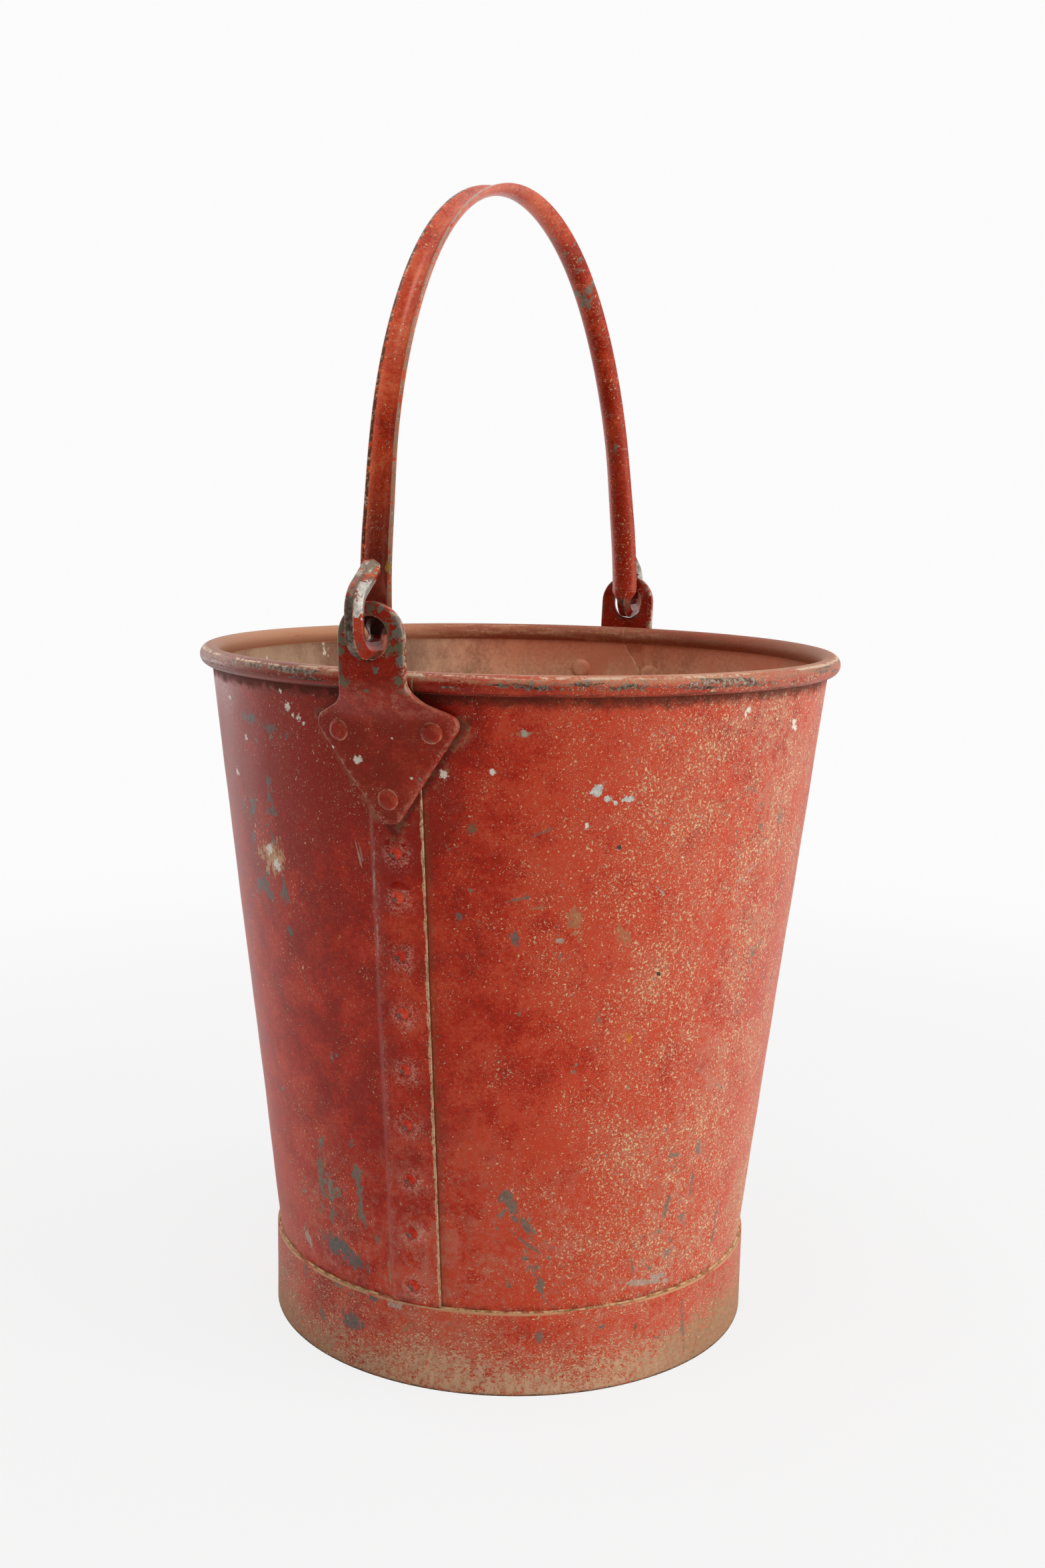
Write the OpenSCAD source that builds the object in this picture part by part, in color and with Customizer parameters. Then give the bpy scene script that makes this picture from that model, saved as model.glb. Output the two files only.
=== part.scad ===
// Riveted sheet-metal fire bucket with a swinging bail.
// Millimetres. +Z is up, the floor is z = 0 and the bucket's axis is the Z axis.
// The two lugs lie on the Y axis; the front lug and its seam are at -Y.

/* [Rim] */
// Outer diameter over the rolled rim
rim_d = 300; // [285:1:315]
// Height of the bucket, floor to the top of the rim
bucket_h = 321.5; // [280:0.5:360]
// Diameter of the wire inside the rolled rim
rim_wire_d = 6.35; // [5:0.05:8]
// How far the rolled rim stands out past the wall
rim_overhang = 5.1; // [4:0.1:6.5]

/* [Body] */
// Thickness of the body sheets and of the base
sheet_t = 1.2; // [0.8:0.1:1.6]
// Outer diameter of the wall where it enters the foot hoop
wall_foot_d = 226.6; // [210:0.2:240]
// Height at which the wall and the base's flange end, inside the hoop
wall_end_z = 12; // [4:0.5:16]
// Height of the base's upper face, the bucket's floor inside
base_z = 24; // [20:0.5:30]
// Radius between the base and its turned-down flange
base_bend_r = 3; // [2:0.5:4]

/* [Foot hoop] */
// Height of the hoop
hoop_h = 38.8; // [34:0.2:46]
// Thickness of the hoop
hoop_t = 1.6; // [1:0.1:3]
// Chamfer on the hoop's edges
hoop_edge = 0.4; // [0.2:0.1:0.5]

/* [Seams] */
// Turn of both seams from the lugs' centre line, in degrees towards +X
seam_turn = 1.15; // [0:0.05:2]
// How far the outer sheet's edge lies past the rivet line
lap_outer = 12; // [9:0.5:14]
// How far the inner sheet's edge lies past the rivet line
lap_inner = 10; // [8:0.5:13]
// Width of the step where the outer sheet rises over the inner one
joggle_w = 1.6; // [1.2:0.1:3]
// Height below the rim at which the laps' corners start to be cut away
mitre_h = 14; // [8:0.5:24]
// Height of the lowest seam rivet
seam_rivet_z = 48.3; // [46:0.1:54]
// Spacing of the seam rivets, up to the last but one
seam_pitch = 25.5; // [20:0.1:30]
// Distance from the lug's point, before it is rounded, down to the top seam rivet
seam_tip_gap = 8; // [5:0.1:14]
// Smallest spacing of the two top seam rivets, as a share of the others'
seam_last_share = 0.4; // [0.35:0.05:0.7]
// Shank diameter of a seam rivet
seam_shank_d = 4; // [3:0.1:5]
// Head diameter of a seam rivet
seam_head_d = 6.2; // [5.6:0.1:8]
// Head height of a seam rivet
seam_head_h = 1.7; // [1.2:0.1:2.4]
// Height of the flattened end of a seam rivet, inside
seam_tail_h = 1; // [0.8:0.1:1.6]

/* [Lugs] */
// Thickness of a lug
lug_t = 3.6; // [3:0.1:5]
// Half width of a lug's plate at its corners, before they are rounded
lug_half_w = 33.7; // [30:0.1:38]
// Depth of the plate's corners below the top of the rim
lug_corner_drop = 20; // [18:0.5:24]
// Length of the pointed part, corners to tip, before they are rounded
lug_point_h = 47.8; // [44:0.1:54]
// Radius of the pointed tip
lug_tip_r = 6; // [4:0.5:8]
// Radius of the corners
lug_corner_r = 5; // [2:0.5:6]
// Radius in the neck between plate and tongue
lug_neck_r = 12; // [8:0.5:14]
// Fall of the shoulders from neck to corner, in degrees
lug_shoulder = 26; // [15:1:30]
// Lean of each lug about its eye, in degrees, which swings its point to the right
lug_lean = 1.8; // [0:0.1:3]
// Gap between the rim and the tongue's inner face
tongue_gap = 4.4; // [3:0.1:6]
// Distance from the upper rivet heads to where the plate starts to bend outwards
crank_gap = 0.1; // [0:0.1:2]
// Angle of the slanting part between plate and tongue from the vertical
crank_a = 36; // [32:1:44]
// Radius of both bends, in the middle of the metal
crank_r = 4; // [2.5:0.5:6]
// Width of metal beside the eye
eye_rim_w = 6.8; // [5:0.1:8]
// Diameter of the eye
eye_d = 15.4; // [13:0.1:18]
// How far the eye has worn upwards
eye_wear = 2; // [0:0.1:3]
// Height of the unworn eye's centre over the top of the rim
eye_over_rim = 12.4; // [11:0.1:18]
// Distance of the upper lug rivets from the lug's centre line
lug_rivet_x = 20.2; // [18:0.1:23]
// Depth of the upper lug rivets below the top of the rim
lug_rivet_drop = 24.2; // [23:0.1:27]
// Distance from the upper lug rivets down to the lower one
lug_rivet_fall = 28; // [26:0.1:30]
// Shank diameter of a lug rivet
lug_shank_d = 6; // [4.6:0.1:6.6]
// Head diameter of a lug rivet
lug_head_d = 9.2; // [8:0.1:10]
// Head height of a lug rivet
lug_head_h = 1.1; // [0.8:0.1:2.6]
// Height of the rounded end of a lug rivet, inside
lug_tail_h = 2; // [1.4:0.1:2.6]

/* [Bail] */
// Height of the bail's crown over the hinge
bail_rise = 200.3; // [180:0.1:230]
// Width of the bail's trough over its lips
trough_w = 12.8; // [11:0.1:14]
// Depth of the trough's section, lips to back
trough_depth = 5.2; // [4.6:0.1:6]
// Thickness of the trough's wall
trough_t = 1.8; // [1.4:0.1:2.2]
// Half angle of the crown's arc
crown_a = 48.4; // [40:0.1:54]
// Lean of the straight part of each leg from the vertical
leg_lean = 10.85; // [8:0.05:12]
// Length of the straight part of each leg
leg_straight = 26; // [16:0.5:34]
// Radius by which each leg turns upright again
leg_foot_r = 170; // [140:1:200]
// Gap between the trough's lips and the lug's tongue
leg_gap = 3.5; // [3:0.1:5]
// Height over which the trough closes up into the hook rod
leg_close_h = 9.5; // [7:0.5:12]
// Diameter of the hook rod at each end
hook_d = 7.8; // [6.5:0.1:9]
// Bend radius of the hook inside the lug
hook_in_r = 5; // [4.6:0.1:6]
// Bend radius of the hook outside the lug
hook_out_r = 8; // [6:0.1:10]
// Length of the hook's bar past the lug's outer face
hook_reach = 3.4; // [2:0.1:5]
// Height of the hook's upright arm
hook_arm = 7; // [3:0.1:8]
// Radius by which the hook closes again
hook_top_r = 11; // [9:0.1:12]
// Angle through which the hook closes
hook_top_a = 55; // [45:1:60]
// Length of the hook's straight tip
hook_tip = 13; // [9:0.1:14]
// Lean of the resting bail, in degrees towards -X
bail_lean = 2.07; // [0:0.01:6]

/* [Fits] */
// Clearance between faces that are riveted or soldered together
face_fit = 0.05; // [0.02:0.01:0.1]
// Radial clearance of a rivet in its holes
rivet_fit = 0.05; // [0.02:0.01:0.1]
// Radial clearance of the rim wire in the rolled rim
wire_fit = 0.05; // [0.02:0.01:0.1]
// Gap under the hook in the eye that it hangs in
hook_rest = 0.3; // [0.2:0.05:0.5]
// Gap between the ends of the two sheets' rolled rims
rim_joint = 0.2; // [0.1:0.05:0.4]
// Gap between the laps' upper corners and the rolled rim
lap_gap = 0.3; // [0.2:0.05:0.6]
// Gap between the rolled rim's edge and the wall
rim_slit = 0.5; // [0.3:0.1:0.8]

/* [Hidden] */
$fn = 96;
far = 400;
// Length by which one shape reaches into another that it joins or cuts
reach = 0.3;
red = [0.62, 0.13, 0.09];
dark_red = [0.5, 0.1, 0.08];
bright_red = [0.76, 0.2, 0.14];
grey_metal = [0.55, 0.56, 0.55];

// Seam rivets: a row at the pitch, and one more under the lug's point
seam_top_z = bucket_h - lug_corner_drop - lug_point_h - seam_tip_gap;
seam_rivets = floor((seam_top_z - seam_rivet_z) / seam_pitch - seam_last_share) + 2;

// Rolled rim
rim_r = rim_d / 2;
bead_r = rim_wire_d / 2 + wire_fit + sheet_t;
bead_at = rim_r - bead_r;
bead_z = bucket_h - bead_r;

// Wall: a cone down to the hoop, then a short cylinder inside it
wall_top_r = rim_r - rim_overhang;
foot_r = wall_foot_d / 2;
wall_slope = (wall_top_r - foot_r) / (bead_z - hoop_h);
wall_tilt = atan(wall_slope);
function wall_r(z) = foot_r + max(0, z - hoop_h) * wall_slope;
lap_rise = sheet_t + face_fit;
wall_top_z = bead_z - bead_r + sheet_t / 2 + reach;

// Lug
lug_seat = lap_rise + face_fit;
tongue_r = rim_r + tongue_gap;
eye_r = eye_d / 2;
eye_z = bucket_h + eye_over_rim;
tongue_z = eye_z + eye_wear / 2;
tongue_half_w = eye_r + eye_rim_w;
// A lug's round corners stand this much proud of the straight edges that they join
round_step = 0.02;
corner_z = bucket_h - lug_corner_drop;
upper_rivet_z = bucket_h - lug_rivet_drop;
lower_rivet_z = upper_rivet_z - lug_rivet_fall;
lug_rivets = [[-lug_rivet_x, upper_rivet_z], [lug_rivet_x, upper_rivet_z], [0, lower_rivet_z]];
crank_z = upper_rivet_z + lug_rivet_x * sin(lug_lean) + lug_head_d / 2 + crank_gap
    + crank_r * tan((crank_a - wall_tilt) / 2);
crank_top_z = crank_z + (tongue_r - wall_r(crank_z) - lug_seat) / tan(crank_a);

// Bail
hook_r = hook_d / 2;
hinge_z = eye_z - (eye_r - hook_r - hook_rest);
bar_in_y = tongue_r - reach;
leg_rod_y = bar_in_y - hook_in_r;
bar_out_y = tongue_r + lug_t + hook_reach;
foot_lip_y = tongue_r - leg_gap;
foot_top_z = hinge_z + hook_in_r + leg_close_h;
leg_a = 90 - leg_lean;
half_span = foot_lip_y - leg_straight * cos(leg_a) - leg_foot_r * (1 - sin(leg_a));
arch_rise = hinge_z + bail_rise - foot_top_z - leg_straight * sin(leg_a) - leg_foot_r * cos(leg_a);
arch_det = sin(crown_a) * (cos(crown_a) - cos(leg_a)) - (sin(leg_a) - sin(crown_a)) * (1 - cos(crown_a));
crown_r = (half_span * (cos(crown_a) - cos(leg_a)) - arch_rise * (sin(leg_a) - sin(crown_a))) / arch_det;
side_r = (arch_rise * sin(crown_a) - half_span * (1 - cos(crown_a))) / arch_det;
crown_cz = hinge_z + bail_rise - crown_r;
side_cy = (crown_r - side_r) * sin(crown_a);
side_cz = crown_cz + (crown_r - side_r) * cos(crown_a);
leg_y = side_cy + side_r * sin(leg_a);
leg_z = side_cz + side_r * cos(leg_a);
trough_r = (pow(trough_w / 2, 2) + pow(trough_depth, 2)) / (2 * trough_depth);
// Neighbouring stretches of the bail differ by this step and reach into each other
joint_step = 0.02;
joint_reach = 0.1;

// Points of an arc about [x, y], from angle a to angle b
function arc(x, y, r, a, b, n = 8) =
    [for (i = [0:n]) [x + r * cos(a + (b - a) * i / n), y + r * sin(a + (b - a) * i / n)]];

// A band of the wall as a section to revolve: from height z0 to z1, raised by "rise"
module wall_section(z0, z1, rise = 0, t = sheet_t) {
    knee = z0 < hoop_h ? [hoop_h] : [];
    heights = concat([z0], knee, [z1]);
    outside = [for (z = heights) [wall_r(z) + rise, z]];
    inside = [for (i = [len(heights) - 1:-1:0]) [wall_r(heights[i]) + rise - t, heights[i]]];
    polygon(concat(outside, inside));
}

// The sheet rolled round the wire, open by a slit beside the wall
module bead_section() {
    difference() {
        translate([bead_at, bead_z]) circle(bead_r);
        translate([bead_at, bead_z]) circle(rim_wire_d / 2 + wire_fit);
        translate([wall_top_r + lap_rise - face_fit, bead_z - 2 * bead_r])
            square([rim_slit, 2 * bead_r - rim_wire_d / 4]);
    }
}

// Everything on the -X side of a seam that is turned by "turn", kept up to x = edge
module before_seam(turn, edge, front = true) {
    y0 = front ? -far : -20;
    rotate([0, 0, front ? turn : -turn])
        translate([-far, y0, -1]) cube([far + edge, far + 20, far + 2]);
}

// Cuts the upper corner of a lap, so that it stays under the other sheet's rolled rim
module lap_mitre(width) {
    top = bead_z - bead_r - lap_gap;
    translate([0, far, 0]) rotate([90, 0, 0]) linear_extrude(2 * far)
        polygon([[-rim_joint / 2, far], [-rim_joint / 2, top], [0, top],
            [width, top - mitre_h], [width + 1, top - mitre_h], [width + 1, far]]);
}

// Holes for every rivet
module rivet_holes() {
    for (end = [0, 1], i = [0:seam_rivets - 1]) seam_place(end, i)
        cylinder(r = seam_shank_d / 2 + rivet_fit, h = 12, center = true, $fn = 48);
    for (end = [0, 1], k = [0:2]) lug_rivet_place(end, k)
        cylinder(r = lug_shank_d / 2 + rivet_fit, h = 24, center = true, $fn = 48);
}

// One body sheet, drawn as the left one: its outer lap at -Y, its inner lap at +Y
module body_sheet(turn) {
    difference() {
        union() {
            difference() {
                intersection() {
                    rotate_extrude() wall_section(wall_end_z, wall_top_z);
                    union() {
                        before_seam(turn, -lap_inner - face_fit);
                        before_seam(turn, lap_inner, front = false);
                    }
                }
                rotate([0, 0, -turn]) lap_mitre(lap_inner);
            }
            rotate([0, 0, turn]) difference() {
                intersection() {
                    rotate_extrude() wall_section(hoop_h + face_fit, wall_top_z, lap_rise);
                    translate([-lap_inner - joggle_w, -far, 0])
                        cube([lap_inner + joggle_w + lap_outer, far, far]);
                }
                lap_mitre(lap_outer);
            }
            rotate([0, 0, turn]) intersection() {
                rotate_extrude() wall_section(hoop_h + face_fit, wall_top_z, lap_rise, 2 * sheet_t);
                translate([-lap_inner - joggle_w, -far, 0])
                    cube([joggle_w - face_fit, far, far]);
            }
            intersection() {
                rotate_extrude() bead_section();
                union() {
                    before_seam(turn, -rim_joint / 2);
                    before_seam(turn, -rim_joint / 2, front = false);
                }
            }
        }
        rotate([0, 0, turn < 0 ? 180 : 0]) rivet_holes();
    }
}

module body_sheet_left() {
    color(dark_red) body_sheet(seam_turn);
}

module body_sheet_right() {
    color(red) rotate([0, 0, 180]) body_sheet(-seam_turn);
}

module rim_wire() {
    color(grey_metal) rotate_extrude() translate([bead_at, bead_z]) circle(rim_wire_d / 2);
}

// The base: a flat disc with a flange turned down inside the wall
module base_disc() {
    out = foot_r - sheet_t - face_fit;
    bend = base_bend_r;
    low = base_bend_r - sheet_t;
    color(red) rotate_extrude() polygon(concat(
        [[0, base_z], [out - bend, base_z]],
        arc(out - bend, base_z - bend, bend, 90, 0),
        [[out, wall_end_z], [out - sheet_t, wall_end_z]],
        arc(out - bend, base_z - bend, low, 0, 90),
        [[0, base_z - sheet_t]]));
}

module foot_hoop() {
    inner = foot_r + face_fit;
    outer = inner + hoop_t;
    e = hoop_edge;
    color(red) rotate_extrude() polygon([
        [inner, e], [inner + e, 0], [outer - e, 0], [outer, e],
        [outer, hoop_h - e], [outer - e, hoop_h], [inner, hoop_h]]);
}

// A lug seen from the front, x across and y up, upright
module lug_outline() {
    side_a = atan(lug_point_h / lug_half_w);
    tip = [0, corner_z - lug_point_h];
    corner = [lug_half_w, corner_z];
    along = [cos(side_a), sin(side_a)];
    back = [-cos(lug_shoulder), sin(lug_shoulder)];
    corner_cut = lug_corner_r / tan((side_a + lug_shoulder) / 2);
    corner_mid = corner - corner_cut * along + lug_corner_r * [-along[1], along[0]];
    tip_cut = lug_tip_r * tan(side_a);
    tip_mid = tip + [0, lug_tip_r / cos(side_a)];
    neck_x = tongue_half_w + lug_neck_r;
    neck_foot_x = neck_x - lug_neck_r * sin(lug_shoulder);
    neck_foot = corner + back * (lug_half_w - neck_foot_x) / cos(lug_shoulder);
    neck = [neck_x, neck_foot[1] + lug_neck_r * cos(lug_shoulder)];
    translate([0, tongue_z]) circle(tongue_half_w);
    translate([-tongue_half_w, neck[1] - 1]) square([2 * tongue_half_w, tongue_z - neck[1] + 1]);
    translate(tip_mid) circle(lug_tip_r + round_step);
    for (s = [0, 1]) mirror([s, 0]) {
        translate(corner_mid) circle(lug_corner_r + round_step);
        difference() {
            polygon([tip_mid, tip + tip_cut * along, corner - corner_cut * along,
                corner + corner_cut * back, neck_foot, neck, [-1, neck[1]], [-1, tip_mid[1]]]);
            translate(neck) circle(lug_neck_r);
        }
    }
}

// Turns what is drawn for an upright lug to the lug's lean
module lug_leaning() {
    translate([0, tongue_z]) rotate(lug_lean) translate([0, -tongue_z]) children();
}

// Points of the bend of radius r at corner b of the path a, b, c, moved sideways by "off"
function bend(a, b, c, r, off, n = 6) =
    let (u = (b - a) / norm(b - a), v = (c - b) / norm(c - b),
        turn = asin(u[0] * v[1] - u[1] * v[0]), side = sign(turn),
        start = b - u * r * tan(abs(turn) / 2),
        mid = start + side * r * [-u[1], u[0]],
        from = atan2(start[1] - mid[1], start[0] - mid[0]))
    [for (i = [0:n]) mid + (r - side * off) * [cos(from + turn * i / n), sin(from + turn * i / n)]];

// One face of a lug from the side, "off" away from the middle of the metal
function lug_face(off) =
    let (h = lug_t / 2, z0 = corner_z - lug_point_h - lug_t, z3 = tongue_z + tongue_half_w + lug_t,
        p0 = [wall_r(z0) + lug_seat + h, z0], p1 = [wall_r(crank_z) + lug_seat + h, crank_z],
        p2 = [tongue_r + h, crank_top_z], p3 = [tongue_r + h, z3])
    concat([p0 - [off, 0]], bend(p0, p1, p2, crank_r, off), bend(p1, p2, p3, crank_r, off),
        [p3 - [off, 0]]);

// A lug seen from the side, as a section to revolve: plate, slanting part and tongue
module lug_section() {
    outside = lug_face(-lug_t / 2);
    polygon(concat(lug_face(lug_t / 2), [for (i = [len(outside) - 1:-1:0]) outside[i]]));
}

module lug() {
    color(dark_red) difference() {
        intersection() {
            rotate_extrude() lug_section();
            rotate([90, 0, 0]) linear_extrude(far) lug_leaning() lug_outline();
        }
        rotate([90, 0, 0]) linear_extrude(far) lug_leaning() for (up = [0, 1])
            translate([0, eye_z + up * eye_wear]) circle(eye_r);
        rotate([90, 0, 0]) linear_extrude(far) lug_leaning()
            translate([-eye_r, eye_z]) square([2 * eye_r, eye_wear]);
        for (k = [0:2]) lug_rivet_place(0, k)
            cylinder(r = lug_shank_d / 2 + rivet_fit, h = 24, center = true, $fn = 48);
    }
}

module front_lug() {
    lug();
}

module rear_lug() {
    rotate([0, 0, 180]) lug();
}

// Puts a rivet's axis on the wall's outer face at height z, square to the wall,
// pointing outwards, at the angle "a" from -Y towards +X
module on_wall(a, z, rise = 0) {
    rotate([0, 0, a]) translate([0, -wall_r(z), z]) rotate([90 + wall_tilt, 0, 0])
        translate([0, 0, rise]) children();
}

module seam_place(end, i) {
    z = i == seam_rivets - 1 ? seam_top_z : seam_rivet_z + i * seam_pitch;
    on_wall(end == 0 ? seam_turn : 180 - seam_turn, z, lap_rise) children();
}

module lug_rivet_place(end, k) {
    from_eye = lug_rivets[k] - [0, tongue_z];
    x = from_eye[0] * cos(lug_lean) - from_eye[1] * sin(lug_lean);
    z = tongue_z + from_eye[0] * sin(lug_lean) + from_eye[1] * cos(lug_lean);
    on_wall(180 * end + asin(x / (wall_r(z) + lug_seat)), z, lug_seat + lug_t) children();
}

// A low dome of the given base diameter and height, standing on z = 0
module dome(d, h) {
    r = (d * d / 4 + h * h) / (2 * h);
    intersection() {
        translate([0, 0, h - r]) sphere(r);
        cylinder(d = d, h = h + 1);
    }
}

// A rivet with its head standing on z = 0 and its grip below
module rivet(shank_d, grip, head_d, head_h, tail_d, tail_h) {
    $fn = 48;
    translate([0, 0, face_fit]) dome(head_d, head_h);
    translate([0, 0, -grip - face_fit]) cylinder(d = shank_d, h = grip + 2 * face_fit + 0.1);
    translate([0, 0, -grip - face_fit]) mirror([0, 0, 1]) dome(tail_d, tail_h);
}

module seam_rivet(end, i) {
    color(bright_red) seam_place(end, i)
        rivet(seam_shank_d, lap_rise + sheet_t, seam_head_d, seam_head_h, seam_head_d + 0.2, seam_tail_h);
}

module lug_rivet(end, k) {
    grip = lug_t + lug_seat + sheet_t;
    color(dark_red) lug_rivet_place(end, k)
        rivet(lug_shank_d, grip, lug_head_d, lug_head_h, lug_head_d + 1, lug_tail_h);
}

// The bail's section: x across, y outwards with the lips on y = 0
module trough_section(less = 0) {
    difference() {
        translate([0, trough_r - trough_depth]) circle(trough_r - less);
        translate([0, trough_r - trough_depth]) circle(trough_r - trough_t + less);
        translate([-far, -less]) square(2 * far);
    }
}

// An arc of the trough in the YZ plane about [cy, cz], a0 to a1 from the vertical towards +Y
module trough_arc(cy, cz, r, a0, a1, less = 0) {
    reach = less > 0 ? atan(joint_reach / r) : 0;
    translate([0, cy, cz]) rotate([0, 90, 0]) rotate([0, 0, 180 - a1 - reach])
        rotate_extrude(angle = a1 - a0 + 2 * reach, $fn = 180) rotate([0, 0, -90])
            translate([0, r]) trough_section(less);
}

// A bend of the hook rod in the YZ plane about [cy, cz], from angle a0 to a1 out of +Y
module rod_bend(cy, cz, r, a0, a1) {
    translate([0, cy, cz]) rotate([90, 0, 90]) rotate([0, 0, a0])
        rotate_extrude(angle = a1 - a0) translate([r, 0]) circle(hook_r, $fn = 48);
}

// Straight rod from [y, z], turned by a out of +Z towards +Y, a hair thinner than the bends
// and reaching a little way into them
module rod(y, z, a, length) {
    translate([0, y, z]) rotate([-a, 0, 0]) translate([0, 0, -joint_reach])
        cylinder(r = hook_r - joint_step, h = length + 2 * joint_reach, $fn = 48);
}

// The leg's end, where the trough closes up into the hook rod
module leg_end() {
    hull() {
        translate([0, foot_lip_y, foot_top_z - 2]) linear_extrude(2 + joint_reach) intersection() {
            translate([0, trough_r - trough_depth]) circle(trough_r + joint_step, $fn = 64);
            translate([-far, -2 * far]) square([2 * far, 2 * far]);
        }
        translate([0, leg_rod_y, hinge_z + hook_in_r - joint_reach])
            cylinder(r = hook_r + joint_step, h = 1, $fn = 64);
    }
}

// One half of the bail, on the +Y side, with the hinge on the Y axis through [0, hinge_z]
module bail_half() {
    out_y = bar_out_y + hook_out_r;
    arm_z = hinge_z + hook_out_r + hook_arm;
    top_y = out_y - hook_top_r;
    tip_y = top_y + hook_top_r * cos(hook_top_a);
    tip_z = arm_z + hook_top_r * sin(hook_top_a);
    trough_arc(side_cy, side_cz, side_r, crown_a, leg_a, joint_step);
    translate([0, leg_y, leg_z]) rotate([-leg_a - 90, 0, 0])
        linear_extrude(leg_straight) mirror([0, 1]) trough_section();
    trough_arc(foot_lip_y - leg_foot_r, foot_top_z, leg_foot_r, leg_a, 90, joint_step);
    leg_end();
    rod_bend(bar_in_y, hinge_z + hook_in_r, hook_in_r, 180, 270);
    rod(bar_in_y, hinge_z, 90, bar_out_y - bar_in_y);
    rod_bend(bar_out_y, hinge_z + hook_out_r, hook_out_r, 270, 360);
    rod(out_y, hinge_z + hook_out_r, 0, hook_arm);
    rod_bend(top_y, arm_z, hook_top_r, 0, hook_top_a);
    rod(tip_y, tip_z, -hook_top_a, hook_tip);
    translate([0, tip_y - hook_tip * sin(hook_top_a), tip_z + hook_tip * cos(hook_top_a)])
        sphere(hook_r - 2 * joint_step, $fn = 48);
}

module bail() {
    color(red) translate([0, 0, hinge_z]) rotate([0, -bail_lean, 0]) translate([0, 0, -hinge_z]) {
        trough_arc(0, crown_cz, crown_r, -crown_a, crown_a);
        bail_half();
        mirror([0, 1, 0]) bail_half();
    }
}

body_sheet_left();
body_sheet_right();
rim_wire();
base_disc();
foot_hoop();
front_lug();
rear_lug();
for (end = [0, 1], i = [1:seam_rivets])
    seam_rivet(end, i - 1);
for (end = [0, 1], k = [0:2])
    lug_rivet(end, k);
bail();
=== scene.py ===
"""Looks of a riveted sheet-metal fire bucket with a swinging bail.

The object's frame has +Z up, the floor at z = 0 and the bucket's axis on Z. The front
lug and its seam lie towards -Y. Sizes in the classes are millimetres, and meshes are
brought to metres when they become pieces.
"""

import logging
import math
from dataclasses import dataclass, field
from enum import Enum
from math import cos, pi, radians, sin

import bmesh
import bpy
from mathutils import Matrix, Vector, noise

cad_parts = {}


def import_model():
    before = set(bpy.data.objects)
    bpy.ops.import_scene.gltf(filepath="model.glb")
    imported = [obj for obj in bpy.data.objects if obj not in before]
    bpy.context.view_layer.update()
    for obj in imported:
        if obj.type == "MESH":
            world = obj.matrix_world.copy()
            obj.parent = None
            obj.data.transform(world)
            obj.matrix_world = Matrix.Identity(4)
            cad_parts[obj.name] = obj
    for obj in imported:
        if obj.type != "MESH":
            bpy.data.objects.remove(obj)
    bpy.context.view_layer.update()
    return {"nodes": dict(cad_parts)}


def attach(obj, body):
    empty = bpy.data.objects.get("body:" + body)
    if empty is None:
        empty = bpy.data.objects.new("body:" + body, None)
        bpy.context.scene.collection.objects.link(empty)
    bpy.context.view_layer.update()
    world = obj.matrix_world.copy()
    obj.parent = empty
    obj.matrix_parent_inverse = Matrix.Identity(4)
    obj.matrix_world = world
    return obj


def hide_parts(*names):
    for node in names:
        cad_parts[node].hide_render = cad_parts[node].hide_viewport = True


MM = 0.001
LOG = logging.getLogger("fire_bucket")

Socket = bpy.types.NodeSocket
Material = bpy.types.Material
Mesh = bmesh.types.BMesh
Tree = bpy.types.NodeTree


class Body(Enum):
    """The two bodies of the object."""

    BUCKET = "bucket"
    BAIL = "bail"


class End(Enum):
    """The two ends of the lugs' line: a sign along Y and the turn that brings the front there."""

    FRONT = (-1, 0)
    REAR = (1, pi)

    @property
    def label(self) -> str:
        """Name used in the pieces' names."""
        return self.name.lower()

    @property
    def turn(self) -> float:
        """Angle about Z that takes the front to this end."""
        return self.value[1]


def rgb(red: int, green: int, blue: int) -> tuple[float, float, float, float]:
    """A colour as seen on a screen, 0 to 255 each, as linear light."""
    def linear(c: int) -> float:
        """One channel."""
        s = c / 255
        return s / 12.92 if s <= 0.04045 else ((s + 0.055) / 1.055) ** 2.4
    return (linear(red), linear(green), linear(blue), 1)


def smooth(low: float, high: float, value: float) -> float:
    """0 below low, 1 above high, and a smooth rise between."""
    t = min(1, max(0, (value - low) / (high - low)))
    return t * t * (3 - 2 * t)


def lerp(a: float, b: float, t: float) -> float:
    """The value a share t of the way from a to b."""
    return a + (b - a) * t


# Sizes


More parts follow.
